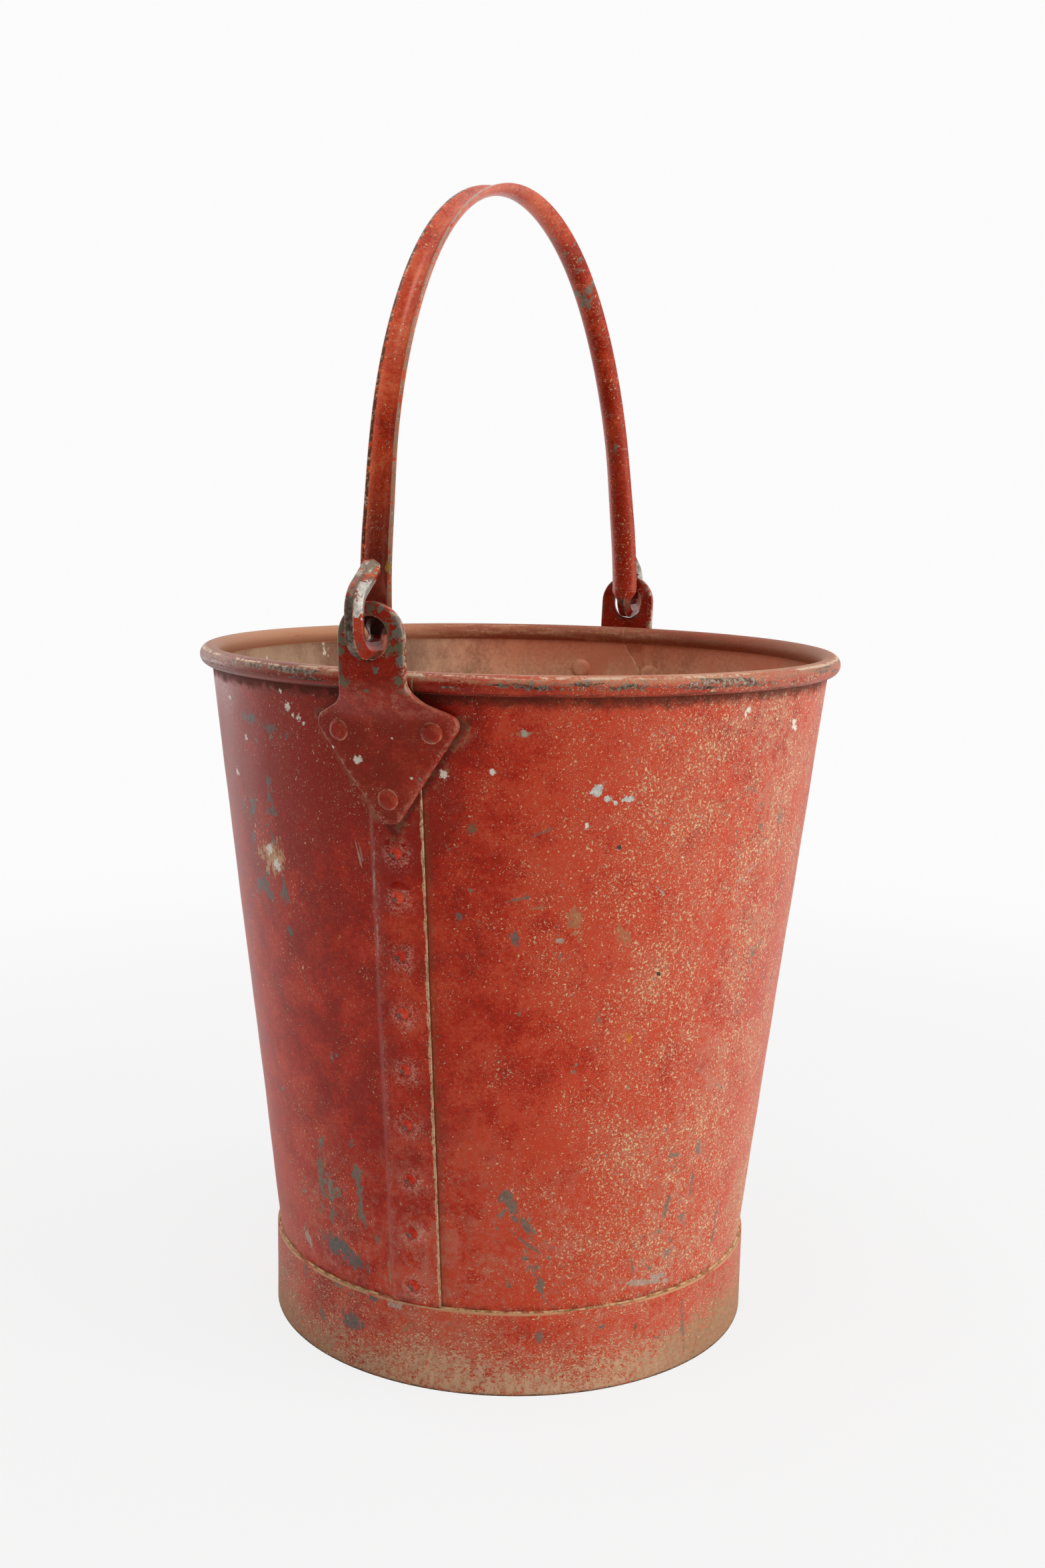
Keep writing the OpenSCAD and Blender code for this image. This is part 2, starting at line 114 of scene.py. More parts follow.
@dataclass(frozen=True)
class Sizes:
    """Sizes that several pieces share, in millimetres and degrees."""

    rim_d: float = 300.0
    height: float = 321.5
    wire_d: float = 6.35
    rim_overhang: float = 5.1
    sheet_t: float = 1.2
    foot_d: float = 226.6
    wall_end_z: float = 12.0
    hoop_h: float = 38.8
    hoop_t: float = 1.6
    seam_turn: float = 1.15
    lap_outer: float = 12.0
    lap_inner: float = 10.0
    mitre_h: float = 14.0
    fit: float = 0.05
    rivet_low_z: float = 48.3
    rivet_pitch: float = 25.5
    rivet_top_z: float = 245.7
    rivet_count: int = 9
    hinge_z: float = 330.4

    @property
    def bead_r(self) -> float:
        """Radius of the rolled rim's section, in the middle of its metal."""
        return self.wire_d / 2 + self.fit + self.sheet_t / 2

    @property
    def bead_at(self) -> float:
        """Distance of the rolled rim's centre from the axis."""
        return self.rim_d / 2 - self.bead_r - self.sheet_t / 2

    @property
    def bead_z(self) -> float:
        """Height of the rolled rim's centre."""
        return self.height - self.bead_r - self.sheet_t / 2

    @property
    def slope(self) -> float:
        """Gain of the wall's radius for each millimetre of height."""
        top = self.rim_d / 2 - self.rim_overhang
        return (top - self.foot_d / 2) / (self.bead_z - self.hoop_h)

    @property
    def rise(self) -> float:
        """How far a lap stands out over the sheet under it."""
        return self.sheet_t + self.fit

    def wall_r(self, z: float) -> float:
        """Outer radius of the wall at height z."""
        return self.foot_d / 2 + max(0, z - self.hoop_h) * self.slope

    def on_wall(self, turn: float, z: float, lift: float = 0.0) -> Matrix:
        """Places a piece on the wall, its own +Z square to the wall and outwards.

        Args:
            turn: angle about Z from -Y towards +X, in radians.
            z: height on the wall.
            lift: distance out from the wall's outer face.

        Returns:
            The matrix, in millimetres.
        """
        tilt = math.atan(self.slope)
        return (Matrix.Rotation(turn, 4, "Z") @ Matrix.Translation((0, -self.wall_r(z), z))
            @ Matrix.Rotation(pi / 2 + tilt, 4, "X") @ Matrix.Translation((0, 0, lift)))


# Shader tools


@dataclass(frozen=True)
class Signal:
    """What a node puts out. Arithmetic on it adds Math nodes."""

    graph: "Graph"
    socket: Socket

    def __add__(self, other: "Value") -> "Signal":
        """The sum."""
        return self.graph.math("ADD", self, other)

    def __radd__(self, other: float) -> "Signal":
        """The sum, with the number first."""
        return self.graph.math("ADD", other, self)

    def __sub__(self, other: "Value") -> "Signal":
        """The difference."""
        return self.graph.math("SUBTRACT", self, other)

    def __rsub__(self, other: float) -> "Signal":
        """The difference, with the number first."""
        return self.graph.math("SUBTRACT", other, self)

    def __mul__(self, other: "Value") -> "Signal":
        """The product."""
        return self.graph.math("MULTIPLY", self, other)

    def __rmul__(self, other: float) -> "Signal":
        """The product, with the number first."""
        return self.graph.math("MULTIPLY", other, self)

    def __truediv__(self, other: "Value") -> "Signal":
        """The quotient."""
        return self.graph.math("DIVIDE", self, other)

    def __pow__(self, other: "Value") -> "Signal":
        """The power."""
        return self.graph.math("POWER", self, other)

    def __abs__(self) -> "Signal":
        """The value without its sign."""
        return self.graph.math("ABSOLUTE", self)

    def rise(self, low: "Value", high: "Value", top: "Value" = 1) -> "Signal":
        """0 where this is under low, "top" over high, smooth between; falls if low is the greater."""
        node = self.graph.add("ShaderNodeMapRange", interpolation_type="SMOOTHSTEP")
        return self.graph.fed(node, self, low, high, 0, top)

    def bump_at(self, centre: "Value", width: "Value") -> "Signal":
        """1 where this equals centre, falling smoothly to 0 at a distance of width."""
        return abs(self - centre).rise(width, 0)


Value = Signal | Socket | float | int | tuple


@dataclass(frozen=True)
class Graph:
    """Adds nodes to one node tree and joins them."""

    tree: Tree

    def add(self, kind: str, **settings: object) -> bpy.types.Node:
        """A node of the given kind, with its settings.

        Args:
            kind: Blender's name for the node.
            settings: its properties.

        Returns:
            The node.
        """
        node = self.tree.nodes.new(kind)
        for name, value in settings.items():
            setattr(node, name, value)
        return node

    def feed(self, socket: Socket, value: Value | None) -> None:
        """Joins a socket to an input, or sets the input's own value."""
        if isinstance(value, Signal):
            value = value.socket
        if isinstance(value, Socket):
            self.tree.links.new(value, socket)
        elif value is not None:
            socket.default_value = value

    def fed(self, node: bpy.types.Node, *values: Value, out: int | str = 0) -> Signal:
        """Gives a node's inputs their values in order, and hands on one of its outputs.

        Args:
            node: the node.
            values: its inputs' values.
            out: number or name of the output.

        Returns:
            The output.
        """
        for socket, value in zip(node.inputs, values):
            self.feed(socket, value)
        return Signal(self, node.outputs[out])

    def fill(self, node: bpy.types.Node, **inputs: Value) -> bpy.types.Node:
        """Feeds a node's inputs by name, with an underscore for a space, and returns the node."""
        for name, value in inputs.items():
            self.feed(node.inputs[name.replace("_", " ")], value)
        return node

    def math(self, operation: str, *values: Value) -> Signal:
        """The result of a Math node."""
        return self.fed(self.add("ShaderNodeMath", operation=operation), *values)

    def vector(self, operation: str, *values: Value) -> Signal:
        """The result of a Vector Math node."""
        out = "Value" if operation == "DISTANCE" else "Vector"
        return self.fed(self.add("ShaderNodeVectorMath", operation=operation), *values, out=out)

    def length(self, x: Signal, y: Signal) -> Signal:
        """The distance that two parts square to each other make."""
        return self.math("SQRT", x * x + y * y)

    def total(self, first: Value, *others: Value) -> Signal:
        """All values added."""
        for other in others:
            first = self.math("ADD", first, other)
        return first

    def most(self, first: Value, *others: Value) -> Signal:
        """The greatest of the values."""
        for other in others:
            first = self.math("MAXIMUM", first, other)
        return first

    def noise(self, position: Value, scale: Value, detail: float = 2.0, roughness: float = 0.5,
            distortion: float = 0.0) -> Signal:
        """The value of a Noise Texture, about 0.5 on average.

        Args:
            position: the coordinates.
            scale: bumps to a metre.
            detail, roughness, distortion: the texture's own settings.

        Returns:
            The value.
        """
        node = self.fill(self.add("ShaderNodeTexNoise"), Vector=position, Scale=scale, Detail=detail,
            Roughness=roughness, Distortion=distortion)
        return Signal(self, node.outputs[0])

    def mottle(self, position: Value, scale: Value, detail: float = 3.0, roughness: float = 0.62,
            distortion: float = 0.0) -> Signal:
        """A noise spread over 0 to 1, for broken outlines and blotches."""
        value = self.noise(position, scale, detail, roughness, distortion)
        return self.math("MULTIPLY_ADD", value, 3, -1)

    def mix(self, factor: Value, first: Value, second: Value, blend: str = "MIX") -> Signal:
        """Two colours mixed.

        Args:
            factor: share of the second colour.
            first, second: the colours.
            blend: Blender's name for the way of mixing.

        Returns:
            The colour.
        """
        node = self.add("ShaderNodeMix", data_type="RGBA", blend_type=blend)
        self.feed(node.inputs[0], factor)
        self.feed(node.inputs[6], first)
        self.feed(node.inputs[7], second)
        return Signal(self, node.outputs[2])

    def blend(self, factor: Value, first: Value, second: Value) -> Signal:
        """Two values mixed.

        Args:
            factor: share of the second value.
            first, second: the values.

        Returns:
            The value.
        """
        node = self.add("ShaderNodeMix", data_type="FLOAT")
        self.feed(node.inputs[0], factor)
        self.feed(node.inputs[2], first)
        self.feed(node.inputs[3], second)
        return Signal(self, node.outputs[0])

    def stretched(self, position: Value, scale: tuple[float, float, float]) -> Signal:
        """Coordinates scaled along each axis.

        Args:
            position: the coordinates.
            scale: a factor for each axis.

        Returns:
            The scaled coordinates.
        """
        node = self.add("ShaderNodeMapping")
        self.feed(node.inputs["Scale"], scale)
        return self.fed(node, position)

    def parts(self, vector: Value) -> tuple[Signal, ...]:
        """The three parts of a vector."""
        node = self.add("ShaderNodeSeparateXYZ")
        self.feed(node.inputs[0], vector)
        return tuple(Signal(self, part) for part in node.outputs)

    def joined(self, x: Value, y: Value, z: Value) -> Signal:
        """A vector from its three parts."""
        return self.fed(self.add("ShaderNodeCombineXYZ"), x, y, z)

    def shade(self, kind: str, **inputs: Value) -> Socket:
        """A shader with its inputs."""
        return self.fill(self.add(kind), **inputs).outputs[0]

    def shade_either(self, factor: Value, first: Socket, second: Socket) -> Socket:
        """Two shaders mixed."""
        return self.fed(self.add("ShaderNodeMixShader"), factor, first, second).socket

    def attribute(self, name: str) -> Signal:
        """A value that is stored at the mesh's points."""
        return Signal(self, self.add("ShaderNodeAttribute", attribute_name=name).outputs["Fac"])

    def coordinates(self, kind: str) -> Signal:
        """One kind of texture coordinates."""
        return Signal(self, self.add("ShaderNodeTexCoord").outputs[kind])

    def group(self, tree: Tree, **inputs: Value) -> dict[str, Signal]:
        """What a node group puts out for its inputs."""
        node = self.fill(self.add("ShaderNodeGroup", node_tree=tree), **inputs)
        return {socket.name: Signal(self, socket) for socket in node.outputs}


class Effects:
    """The node groups that the finishes share, each built once."""

    def __init__(self) -> None:
        """Builds all groups."""
        self.place = self._place()
        self.tones = self._tones()
        self.specks = self._specks()
        self.chips = self._chips()
        self.scratches = self._scratches()
        self.haze = self._haze()
        self.halo = self._halo()
        self.blot = self._blot()
        self.flake = self._flake()
        self.dirt = self._dirt()

    @staticmethod
    def _new(name: str, inputs: dict[str, float | tuple], outputs: dict[str, str]) -> tuple:
        """An empty group.

        Args:
            name: the group's name.
            inputs: each input's name and default; None makes a vector, four numbers a colour.
            outputs: each output's name and its kind, Float or Color.

        Returns:
            The group's graph, what is put in by name, and its output node's inputs.
        """
        tree = bpy.data.node_groups.new(name, "ShaderNodeTree")
        for label, default in inputs.items():
            kind = ("Vector" if default is None else "Color" if isinstance(default, tuple) else "Float")
            socket = tree.interface.new_socket(label, in_out="INPUT", socket_type=f"NodeSocket{kind}")
            if default is not None:
                socket.default_value = default
        for label, kind in outputs.items():
            tree.interface.new_socket(label, in_out="OUTPUT", socket_type=f"NodeSocket{kind}")
        graph = Graph(tree)
        given = {socket.name: Signal(graph, socket) for socket in graph.add("NodeGroupInput").outputs}
        return graph, given, graph.add("NodeGroupOutput").inputs

    def _place(self) -> Tree:
        """Where a point lies on the bucket: its height, radius, angle and distance from the seam.

        Returns:
            The group. Side is in degrees from -Y towards +X. Arc is the distance in metres from
            the nearer seam's rivet line, greater towards the outer sheet's edge.
        """
        graph, give, take = self._new("bucket_place", {"Position": None},
            {"Height": "Float", "Radius": "Float", "Side": "Float", "Arc": "Float"})
        x, y, z = graph.parts(give["Position"])
        radius = graph.length(x, y)
        side = graph.math("ARCTAN2", x, y * -1)
        near = graph.math("ARCTAN2", x, abs(y))
        lies = graph.math("SIGN", y) * -1
        graph.feed(take["Height"], z)
        graph.feed(take["Radius"], radius)
        graph.feed(take["Side"], graph.math("DEGREES", side))
        line = radians(SIZES.seam_turn)
        graph.feed(take["Arc"], radius * lies * (near - line))
        return graph.tree

    def _tones(self) -> Tree:
        """Old brushed paint: large faded areas, smaller mottling and a fine grain."""
        graph, give, take = self._new("paint_tones",
            {"Position": None, "Deep": (0.2, 0.02, 0.01, 1), "Middle": (0.4, 0.04, 0.02, 1),
            "Bright": (0.6, 0.07, 0.04, 1), "Balance": 0.5}, {"Color": "Color", "Value": "Float"})
        where = give["Position"]
        large = graph.noise(graph.stretched(where, (1, 1, 0.45)), 17, 3, 0.55)
        patch = graph.noise(where, 62, 4, 0.64, 0.3)
        grain = graph.noise(where, 640, 3, 0.62)
        value = large * 0.4 + patch * 0.7 + grain * 0.45 + (give["Balance"] - 1.275)
        low = graph.mix(value.rise(-0.15, 0.02), give["Deep"], give["Middle"])
        graph.feed(take["Color"], graph.mix(value.rise(-0.01, 0.16), low, give["Bright"]))
        graph.feed(take["Value"], value)
        return graph.tree

    def _specks(self) -> Tree:
        """Fine pale specks where the paint is worn to its ground.

        Returns:
            The group. Amount runs from 0, few, to 1, dense. Fine is sand, Coarse single grains, Grey
            the grains that go down to the zinc, and Dark the pits with old dirt in them.
        """
        graph, give, take = self._new("fine_specks", {"Position": None, "Amount": 0.5},
            {"Fine": "Float", "Coarse": "Float", "Grey": "Float", "Dark": "Float"})
        where = give["Position"]
        cloud = graph.noise(where, 42, 5, 0.68, 0.2)
        local = give["Amount"] + (cloud - 0.5) * 1.7
        sand = graph.noise(where, 2300, 1, 0.5)
        low = 0.735 - local * 0.18
        graph.feed(take["Fine"], sand.rise(low, low + 0.06))
        grit = graph.noise(where, 1000, 2, 0.6, 0.5)
        low = 0.72 - local * 0.145
        graph.feed(take["Coarse"], grit.rise(low, low + 0.03))
        high = 0.3 + local * 0.05
        graph.feed(take["Dark"], grit.rise(high, high - 0.05))
        ash = graph.noise(graph.vector("ADD", where, (3.1, 1.7, 2.3)), 760, 3, 0.6, 0.3)
        low = 0.735 - local * 0.1
        graph.feed(take["Grey"], ash.rise(low, low + 0.02))
        return graph.tree

    def _chips(self) -> Tree:
        """Flaked places that show what lies under the paint.

        Returns:
            The group. Amount runs from 0, none, to 1, half bare. Mask is the bare place, Edge the
            broken paint just round it.
        """
        graph, give, take = self._new("paint_chips", {"Position": None, "Scale": 60, "Amount": 0.3},
            {"Mask": "Float", "Edge": "Float"})
        flaking = graph.noise(give["Position"], give["Scale"], 8, 0.71, 0.25)
        low = 0.68 - give["Amount"] * 0.18
        graph.feed(take["Mask"], flaking.rise(low, low + 0.01))
        graph.feed(take["Edge"], flaking.rise(low - 0.014, low + 0.002))
        return graph.tree

    def _scratches(self) -> Tree:
        """A few short scratches that lean either way."""
        graph, give, take = self._new("scratches", {"Position": None, "Amount": 0.4}, {"Mask": "Float"})
        masks = []
        for lean, shift in ((0.75, 0), (-0.6, 3.7)):
            turned = graph.add("ShaderNodeMapping")
            graph.feed(turned.inputs["Vector"], give["Position"])
            turned.inputs["Rotation"].default_value = (0, lean, lean * 0.5)
            turned.inputs["Location"].default_value = (shift, shift, shift)
            turned.inputs["Scale"].default_value = (44, 44, 420)
            cells = graph.add("ShaderNodeTexVoronoi", feature="DISTANCE_TO_EDGE")
            graph.feed(cells.inputs["Vector"], turned.outputs[0])
            cells.inputs["Scale"].default_value = 1
            line = Signal(graph, cells.outputs["Distance"]).rise(0.05, 0.01)
            cloud = graph.mottle(graph.stretched(turned.outputs[0], (1, 1, 0.3)), 0.9, 2, 0.6)
            kept = cloud.rise(0.8, 0.95)
            masks.append(line * kept)
        graph.feed(take["Mask"], graph.most(*masks) * give["Amount"])
        return graph.tree

    def _haze(self) -> Tree:
        """Pale dust and chalked paint, thicker where a surface looks up."""
        graph, give, take = self._new("dusty_haze", {"Position": None, "Amount": 0.4}, {"Mask": "Float"})
        up = graph.parts(graph.coordinates("Normal"))[2]
        cloud = graph.mottle(give["Position"], 26, 4, 0.6, 0.5)
        fine = graph.mottle(give["Position"], 300, 3, 0.6)
        soft = cloud * 0.45 + fine * 0.6 + up * 0.2
        graph.feed(take["Mask"], soft.rise(0.3, 0.95) * give["Amount"])
        return graph.tree

    def _halo(self) -> Tree:
        """The dished, chafed metal round each of the seam's rivets.

        Returns:
            The group. Tight is 1 in the crease at the head's foot, Ring on the raised ring round it,
            and Wide fades out over 9 mm.
        """
        graph, give, take = self._new("rivet_halo", {"Height": 0, "Arc": 0},
            {"Tight": "Float", "Ring": "Float", "Wide": "Float"})
        pitch = SIZES.rivet_pitch * MM
        low = SIZES.rivet_low_z * MM
        top = SIZES.rivet_top_z * MM
        along = give["Height"] - low
        row = graph.math("WRAP", along, pitch / 2, -pitch / 2)
        regular = (give["Height"].rise(top - 0.6 * pitch, top - 0.62 * pitch)
            * give["Height"].rise(low - pitch * 0.55, low - pitch * 0.5))
        shapes: dict[str, list[Signal]] = {"Tight": [], "Ring": [], "Wide": []}
        for offset, gate in ((row, regular), (give["Height"] - top, 1)):
            away = graph.length(offset, give["Arc"])
            shapes["Tight"].append(away.rise(0.0038, 0.0031) * gate)
            beside = give["Arc"] - 0.001
            above = offset + 0.0012
            low = graph.length(beside, above)
            shapes["Ring"].append(low.bump_at(0.0036, 0.0015) * gate)
            shapes["Wide"].append(low.rise(0.0095, 0.003) * gate)
        for label, masks in shapes.items():
            graph.feed(take[label], graph.most(*masks))
        return graph.tree

    def _blot(self) -> Tree:
        """One ragged splash or flake round a point.

        Returns:
            The group. Ragged is a noise value that breaks the outline.
        """
        graph, give, take = self._new("blot",
            {"Position": None, "Centre": None, "Reach": 0.003, "Ragged": 0.5}, {"Mask": "Float"})
        away = graph.vector("DISTANCE", give["Position"], give["Centre"])
        share = away / give["Reach"]
        value = share + (give["Ragged"] - 0.5) * 5
        graph.feed(take["Mask"], value.rise(1, 0.88))
        return graph.tree

    def _flake(self) -> Tree:
        """One long flake, smear or scratch on the wall or the hoop.

        Returns:
            The group. Sizes are in metres and Side in degrees; Cosine and Sine give the lean.
        """
        graph, give, take = self._new("flake",
            {"Side": 0, "Height": 0, "Ragged": 0.5, "At Side": 0, "At Height": 0, "Reach": 0.01,
            "Half Width": 0.001, "Cosine": 1, "Sine": 0}, {"Mask": "Float"})
        across = (give["Side"] - give["At Side"]) * radians(0.128)
        up = give["Height"] - give["At Height"]
        along = up * give["Cosine"] + across * give["Sine"]
        beside = across * give["Cosine"] - up * give["Sine"]
        along = (along / give["Reach"]) ** 2
        beside = (beside / give["Half Width"]) ** 2
        share = graph.math("SQRT", along + beside)
        value = share + (give["Ragged"] - 0.5) * 7
        graph.feed(take["Mask"], value.rise(1, 0.84))
        return graph.tree

    def _dirt(self) -> Tree:
        """The brown dust inside the bucket, redder towards the rim, greyer at the left."""
        graph, give, take = self._new("inner_dust", {"Position": None},
            {"Color": "Color", "Value": "Float"})
        where = give["Position"]
        x, _, height = graph.parts(where)
        cloud = graph.mottle(graph.stretched(where, (1, 1, 0.5)), 30, 5, 0.6, 0.3)
        fine = graph.mottle(where, 520, 3, 0.65)
        value = cloud * 0.78 + fine * 0.22
        brown = graph.mix(value.rise(0.2, 0.8), rgb(186, 124, 92), rgb(246, 200, 162))
        grey = (x + cloud * 0.03).rise(-0.035, -0.1)
        brown = graph.mix(grey * 0.75, brown, graph.mix(value, rgb(118, 98, 80), rgb(172, 152, 128)))
        brown = graph.mix(x.rise(0.02, 0.09, 0.5), brown,
            graph.mix(value, rgb(206, 150, 120), rgb(248, 212, 182)))
        red = (height + cloud * 0.03).rise(0.302, 0.332)
        brown = graph.mix(red * x.rise(-0.12, -0.04) * 0.75, brown, rgb(202, 98, 66))
        runs = graph.mottle(graph.stretched(where, (70, 70, 30)), 1, 5, 0.68)
        drips = runs.rise(0.9, 0.95) * x.rise(-0.03, -0.09, 0.9)
        brown = graph.mix(drips, brown, rgb(238, 230, 214))
        graph.feed(take["Color"], brown)
        graph.feed(take["Value"], value)
        return graph.tree


@dataclass(frozen=True)
class Blot:
    """A splash, drip or flake on a surface: its middle in metres, its reach and its colour."""

    centre: tuple[float, float, float]
    reach: float
    color: tuple
    weight: float = 1.0


@dataclass(frozen=True)
class Flakes:
    """Long flakes, smears and scratches of one colour.

    A row holds the middle's side in degrees and its height, the length and the width in
    millimetres, the lean in degrees from upright, positive to the right going up, and how far it
    covers where that isn't 0.9.
    """

    color: tuple
    rows: tuple


@dataclass
class Layers:
    """What a surface has come to in its material's graph while its layers are put on."""

    graph: Graph
    effects: Effects
    position: Signal
    color: Signal
    roughness: Value
    height: Signal
    metallic: Value = 0.0

    def cover(self, mask: Value, color: Value, blend: str = "MIX") -> None:
        """Brings a colour over what is there, where the mask is 1."""
        self.color = self.graph.mix(mask, self.color, color, blend)

    def roughen(self, mask: Value, roughness: float) -> None:
        """Brings the roughness to a value where the mask is 1."""
        self.roughness = self.graph.blend(mask, self.roughness, roughness)

    def splash(self, blots: list[Blot]) -> None:
        """Puts splashes and flakes on top, those of one colour together.

        Args:
            blots: the splashes.
        """
        graph = self.graph
        ragged = graph.noise(self.position, 520, 6, 0.74)
        tone = graph.mottle(self.position, 900, 3, 0.66)
        covered: Value = 0.0
        for color in dict.fromkeys(blot.color for blot in blots):
            share: Value = 0.0
            for blot in blots:
                if blot.color == color:
                    spot = graph.group(self.effects.blot, Position=self.position, Centre=blot.centre,
                        Reach=blot.reach, Ragged=ragged)
                    share = graph.most(share, spot["Mask"] * blot.weight)
            self.cover(share, graph.mix(tone, tuple(0.92 * c for c in color[:3]) + (1,), color))
            covered = graph.most(covered, share)
        self.height = self.height + covered * 0.8

    def flake(self, side: Signal, height: Signal, groups: tuple[Flakes, ...]) -> None:
        """Puts long flakes, smears and scratches on top.

        Args:
            side: degrees from -Y towards +X.
            height: height in metres.
            groups: the flakes of each colour.
        """
        graph = self.graph
        ragged = graph.noise(graph.stretched(self.position, (1, 1, 0.6)), 260, 7, 0.74)
        tone = graph.mottle(self.position, 480, 4, 0.68)
        for group in groups:
            share: Value = 0.0
            for at_side, at_height, length, width, lean, *weight in group.rows:
                turn = radians(lean)
                spot = graph.group(self.effects.flake, Side=side, Height=height, Ragged=ragged,
                    At_Side=at_side, At_Height=at_height * MM, Reach=length / 2 * MM,
                    Half_Width=width / 2 * MM, Cosine=cos(turn), Sine=sin(turn))
                share = graph.most(share, spot["Mask"] * (*weight, 0.9)[0])
            shaded = graph.mix(tone, tuple(0.66 * c for c in group.color[:3]) + (1,),
                tuple(min(0.9, 1.25 * c) for c in group.color[:3]) + (1,))
            self.cover(share, shaded)


@dataclass(frozen=True)
class PaintFinish:
    """Old red paint over zinc, with its tones and its wear."""

    name: str
    deep: tuple = rgb(156, 18, 5)
    middle: tuple = rgb(190, 37, 14)
    bright: tuple = rgb(212, 70, 42)
    balance: float = 0.5
    speck_color: tuple = rgb(240, 206, 158)
    specks: float = 0.3
    chip_color: tuple = rgb(106, 104, 92)
    chip_scale: float = 60.0
    chips: float = 0.2
    dust_color: tuple = rgb(206, 128, 106)
    dust: float = 0.3
    scratches: float = 0.3
    rough: float = 0.34
    relief: float = 0.0004
    grain: tuple = (1, 1, 1)

    def layers(self, graph: Graph, effects: Effects, position: Signal, specks: Value = 0.0,
            chips: Value = 0.0, dust: Value = 0.0, balance: Value = 0.0) -> Layers:
        """Puts on tones, haze, scratches, specks and chips.

        Args:
            graph: the material's graph.
            effects: the shared groups.
            position: Object coordinates.
            specks: added to the specks' amount from place to place.
            chips: added to the chips' amount from place to place.
            dust: added to the dust's amount from place to place.
            balance: added to the tones' balance from place to place.

        Returns:
            The layers so far.
        """
        grain = graph.stretched(position, self.grain)
        tones = graph.group(effects.tones, Position=position, Deep=self.deep, Middle=self.middle,
            Bright=self.bright, Balance=self.balance + balance)
        haze = graph.group(effects.haze, Position=position, Amount=self.dust + dust)
        marks = graph.group(effects.scratches, Position=position, Amount=self.scratches)
        grains = graph.group(effects.specks, Position=grain, Amount=self.specks + specks)
        gaps = graph.group(effects.chips, Position=grain, Scale=self.chip_scale,
            Amount=self.chips + chips)
        fine = grains["Fine"] * 0.42
        coarse = grains["Coarse"] * 0.96
        grey = grains["Grey"] * 0.85
        color = graph.mix(haze["Mask"], tones["Color"], self.dust_color)
        color = graph.mix(marks["Mask"], color, rgb(224, 164, 140))
        color = graph.mix(grains["Dark"] * 0.6, color, rgb(104, 32, 20))
        color = graph.mix(graph.most(fine, coarse), color, self.speck_color)
        color = graph.mix(grey, color, rgb(150, 148, 134))
        color = graph.mix(gaps["Edge"] * 0.5, color, rgb(206, 158, 130))
        under = graph.mix(graph.mottle(position, 420, 4, 0.66), self.chip_color, rgb(152, 150, 134))
        color = graph.mix(gaps["Mask"], color, under)
        roughness = self.rough + haze["Mask"] * 0.3 + tones["Value"] * 0.25
        height = tones["Value"] * 0.7 + fine * -0.3 + grey * -0.5 + coarse * -0.5 + gaps["Mask"] * -0.9
        return Layers(graph, effects, position, color, roughness, height)

    def dress(self, layers: Layers, sheen: float = 0.03) -> None:
        """Feeds the layers to the shader.

        Args:
            layers: the finished layers.
            sheen: weight of the dusty sheen at grazing angles.
        """
        graph = layers.graph
        shader = graph.add("ShaderNodeBsdfPrincipled")
        graph.fill(shader, IOR=1.5, Specular_Tint=(1, 0.42, 0.3, 1), Sheen_Weight=sheen,
            Sheen_Roughness=0.5, Sheen_Tint=(1, 0.9, 0.86, 1), Base_Color=layers.color,
            Roughness=layers.roughness, Metallic=layers.metallic)
        relief = graph.shade("ShaderNodeBump", Strength=0.7, Distance=self.relief, Height=layers.height)
        graph.feed(shader.inputs["Normal"], relief)
        graph.fill(graph.add("ShaderNodeOutputMaterial"), Surface=shader.outputs[0])


def new_material(name: str) -> tuple[Material, Graph, Signal]:
    """An empty material, its graph and the Object coordinates in it.

    Args:
        name: the material's name.

    Returns:
        The three.
    """
    material = bpy.data.materials.new(name)
    material.use_nodes = True
    material.node_tree.nodes.clear()
    graph = Graph(material.node_tree)
    return material, graph, graph.coordinates("Object")


SIZES = Sizes()
WHITE = rgb(255, 244, 226)
TAN = rgb(214, 160, 116)
ZINC = rgb(212, 218, 208)
ASH = rgb(122, 119, 106)
SLATE = rgb(104, 106, 102)
STONE = rgb(186, 178, 160)
OLIVE = rgb(112, 104, 78)
KHAKI = rgb(176, 138, 98)
ORANGE = rgb(222, 126, 44)
YELLOW = rgb(206, 160, 52)


def at_wall(side: float, height: float, lift: float = 0.0) -> tuple[float, float, float]:
    """A point on the wall's outer face, in metres.

    Args:
        side: degrees from -Y towards +X.
        height: height in millimetres.
        lift: distance out from the wall in millimetres.

    Returns:
        The point.
    """
    return tuple(SIZES.on_wall(radians(side), height, lift).translation * MM)


@dataclass(frozen=True)
class Patch:
    """A worn area on the wall: its middle, its reach and what it adds."""

    side: float
    height: float
    reach: float
    amount: float

    def mask(self, graph: Graph, side: Signal, height: Signal) -> Signal:
        """A soft round mask on the wall.

        Args:
            graph: the material's graph.
            side: degrees from -Y towards +X.
            height: height in metres.

        Returns:
            The amount in the middle, 0 past the reach.
        """
        across = (side - self.side) * 0.0023
        up = height - self.height * MM
        away = graph.length(across, up)
        return away.rise(self.reach * MM, 0, self.amount)


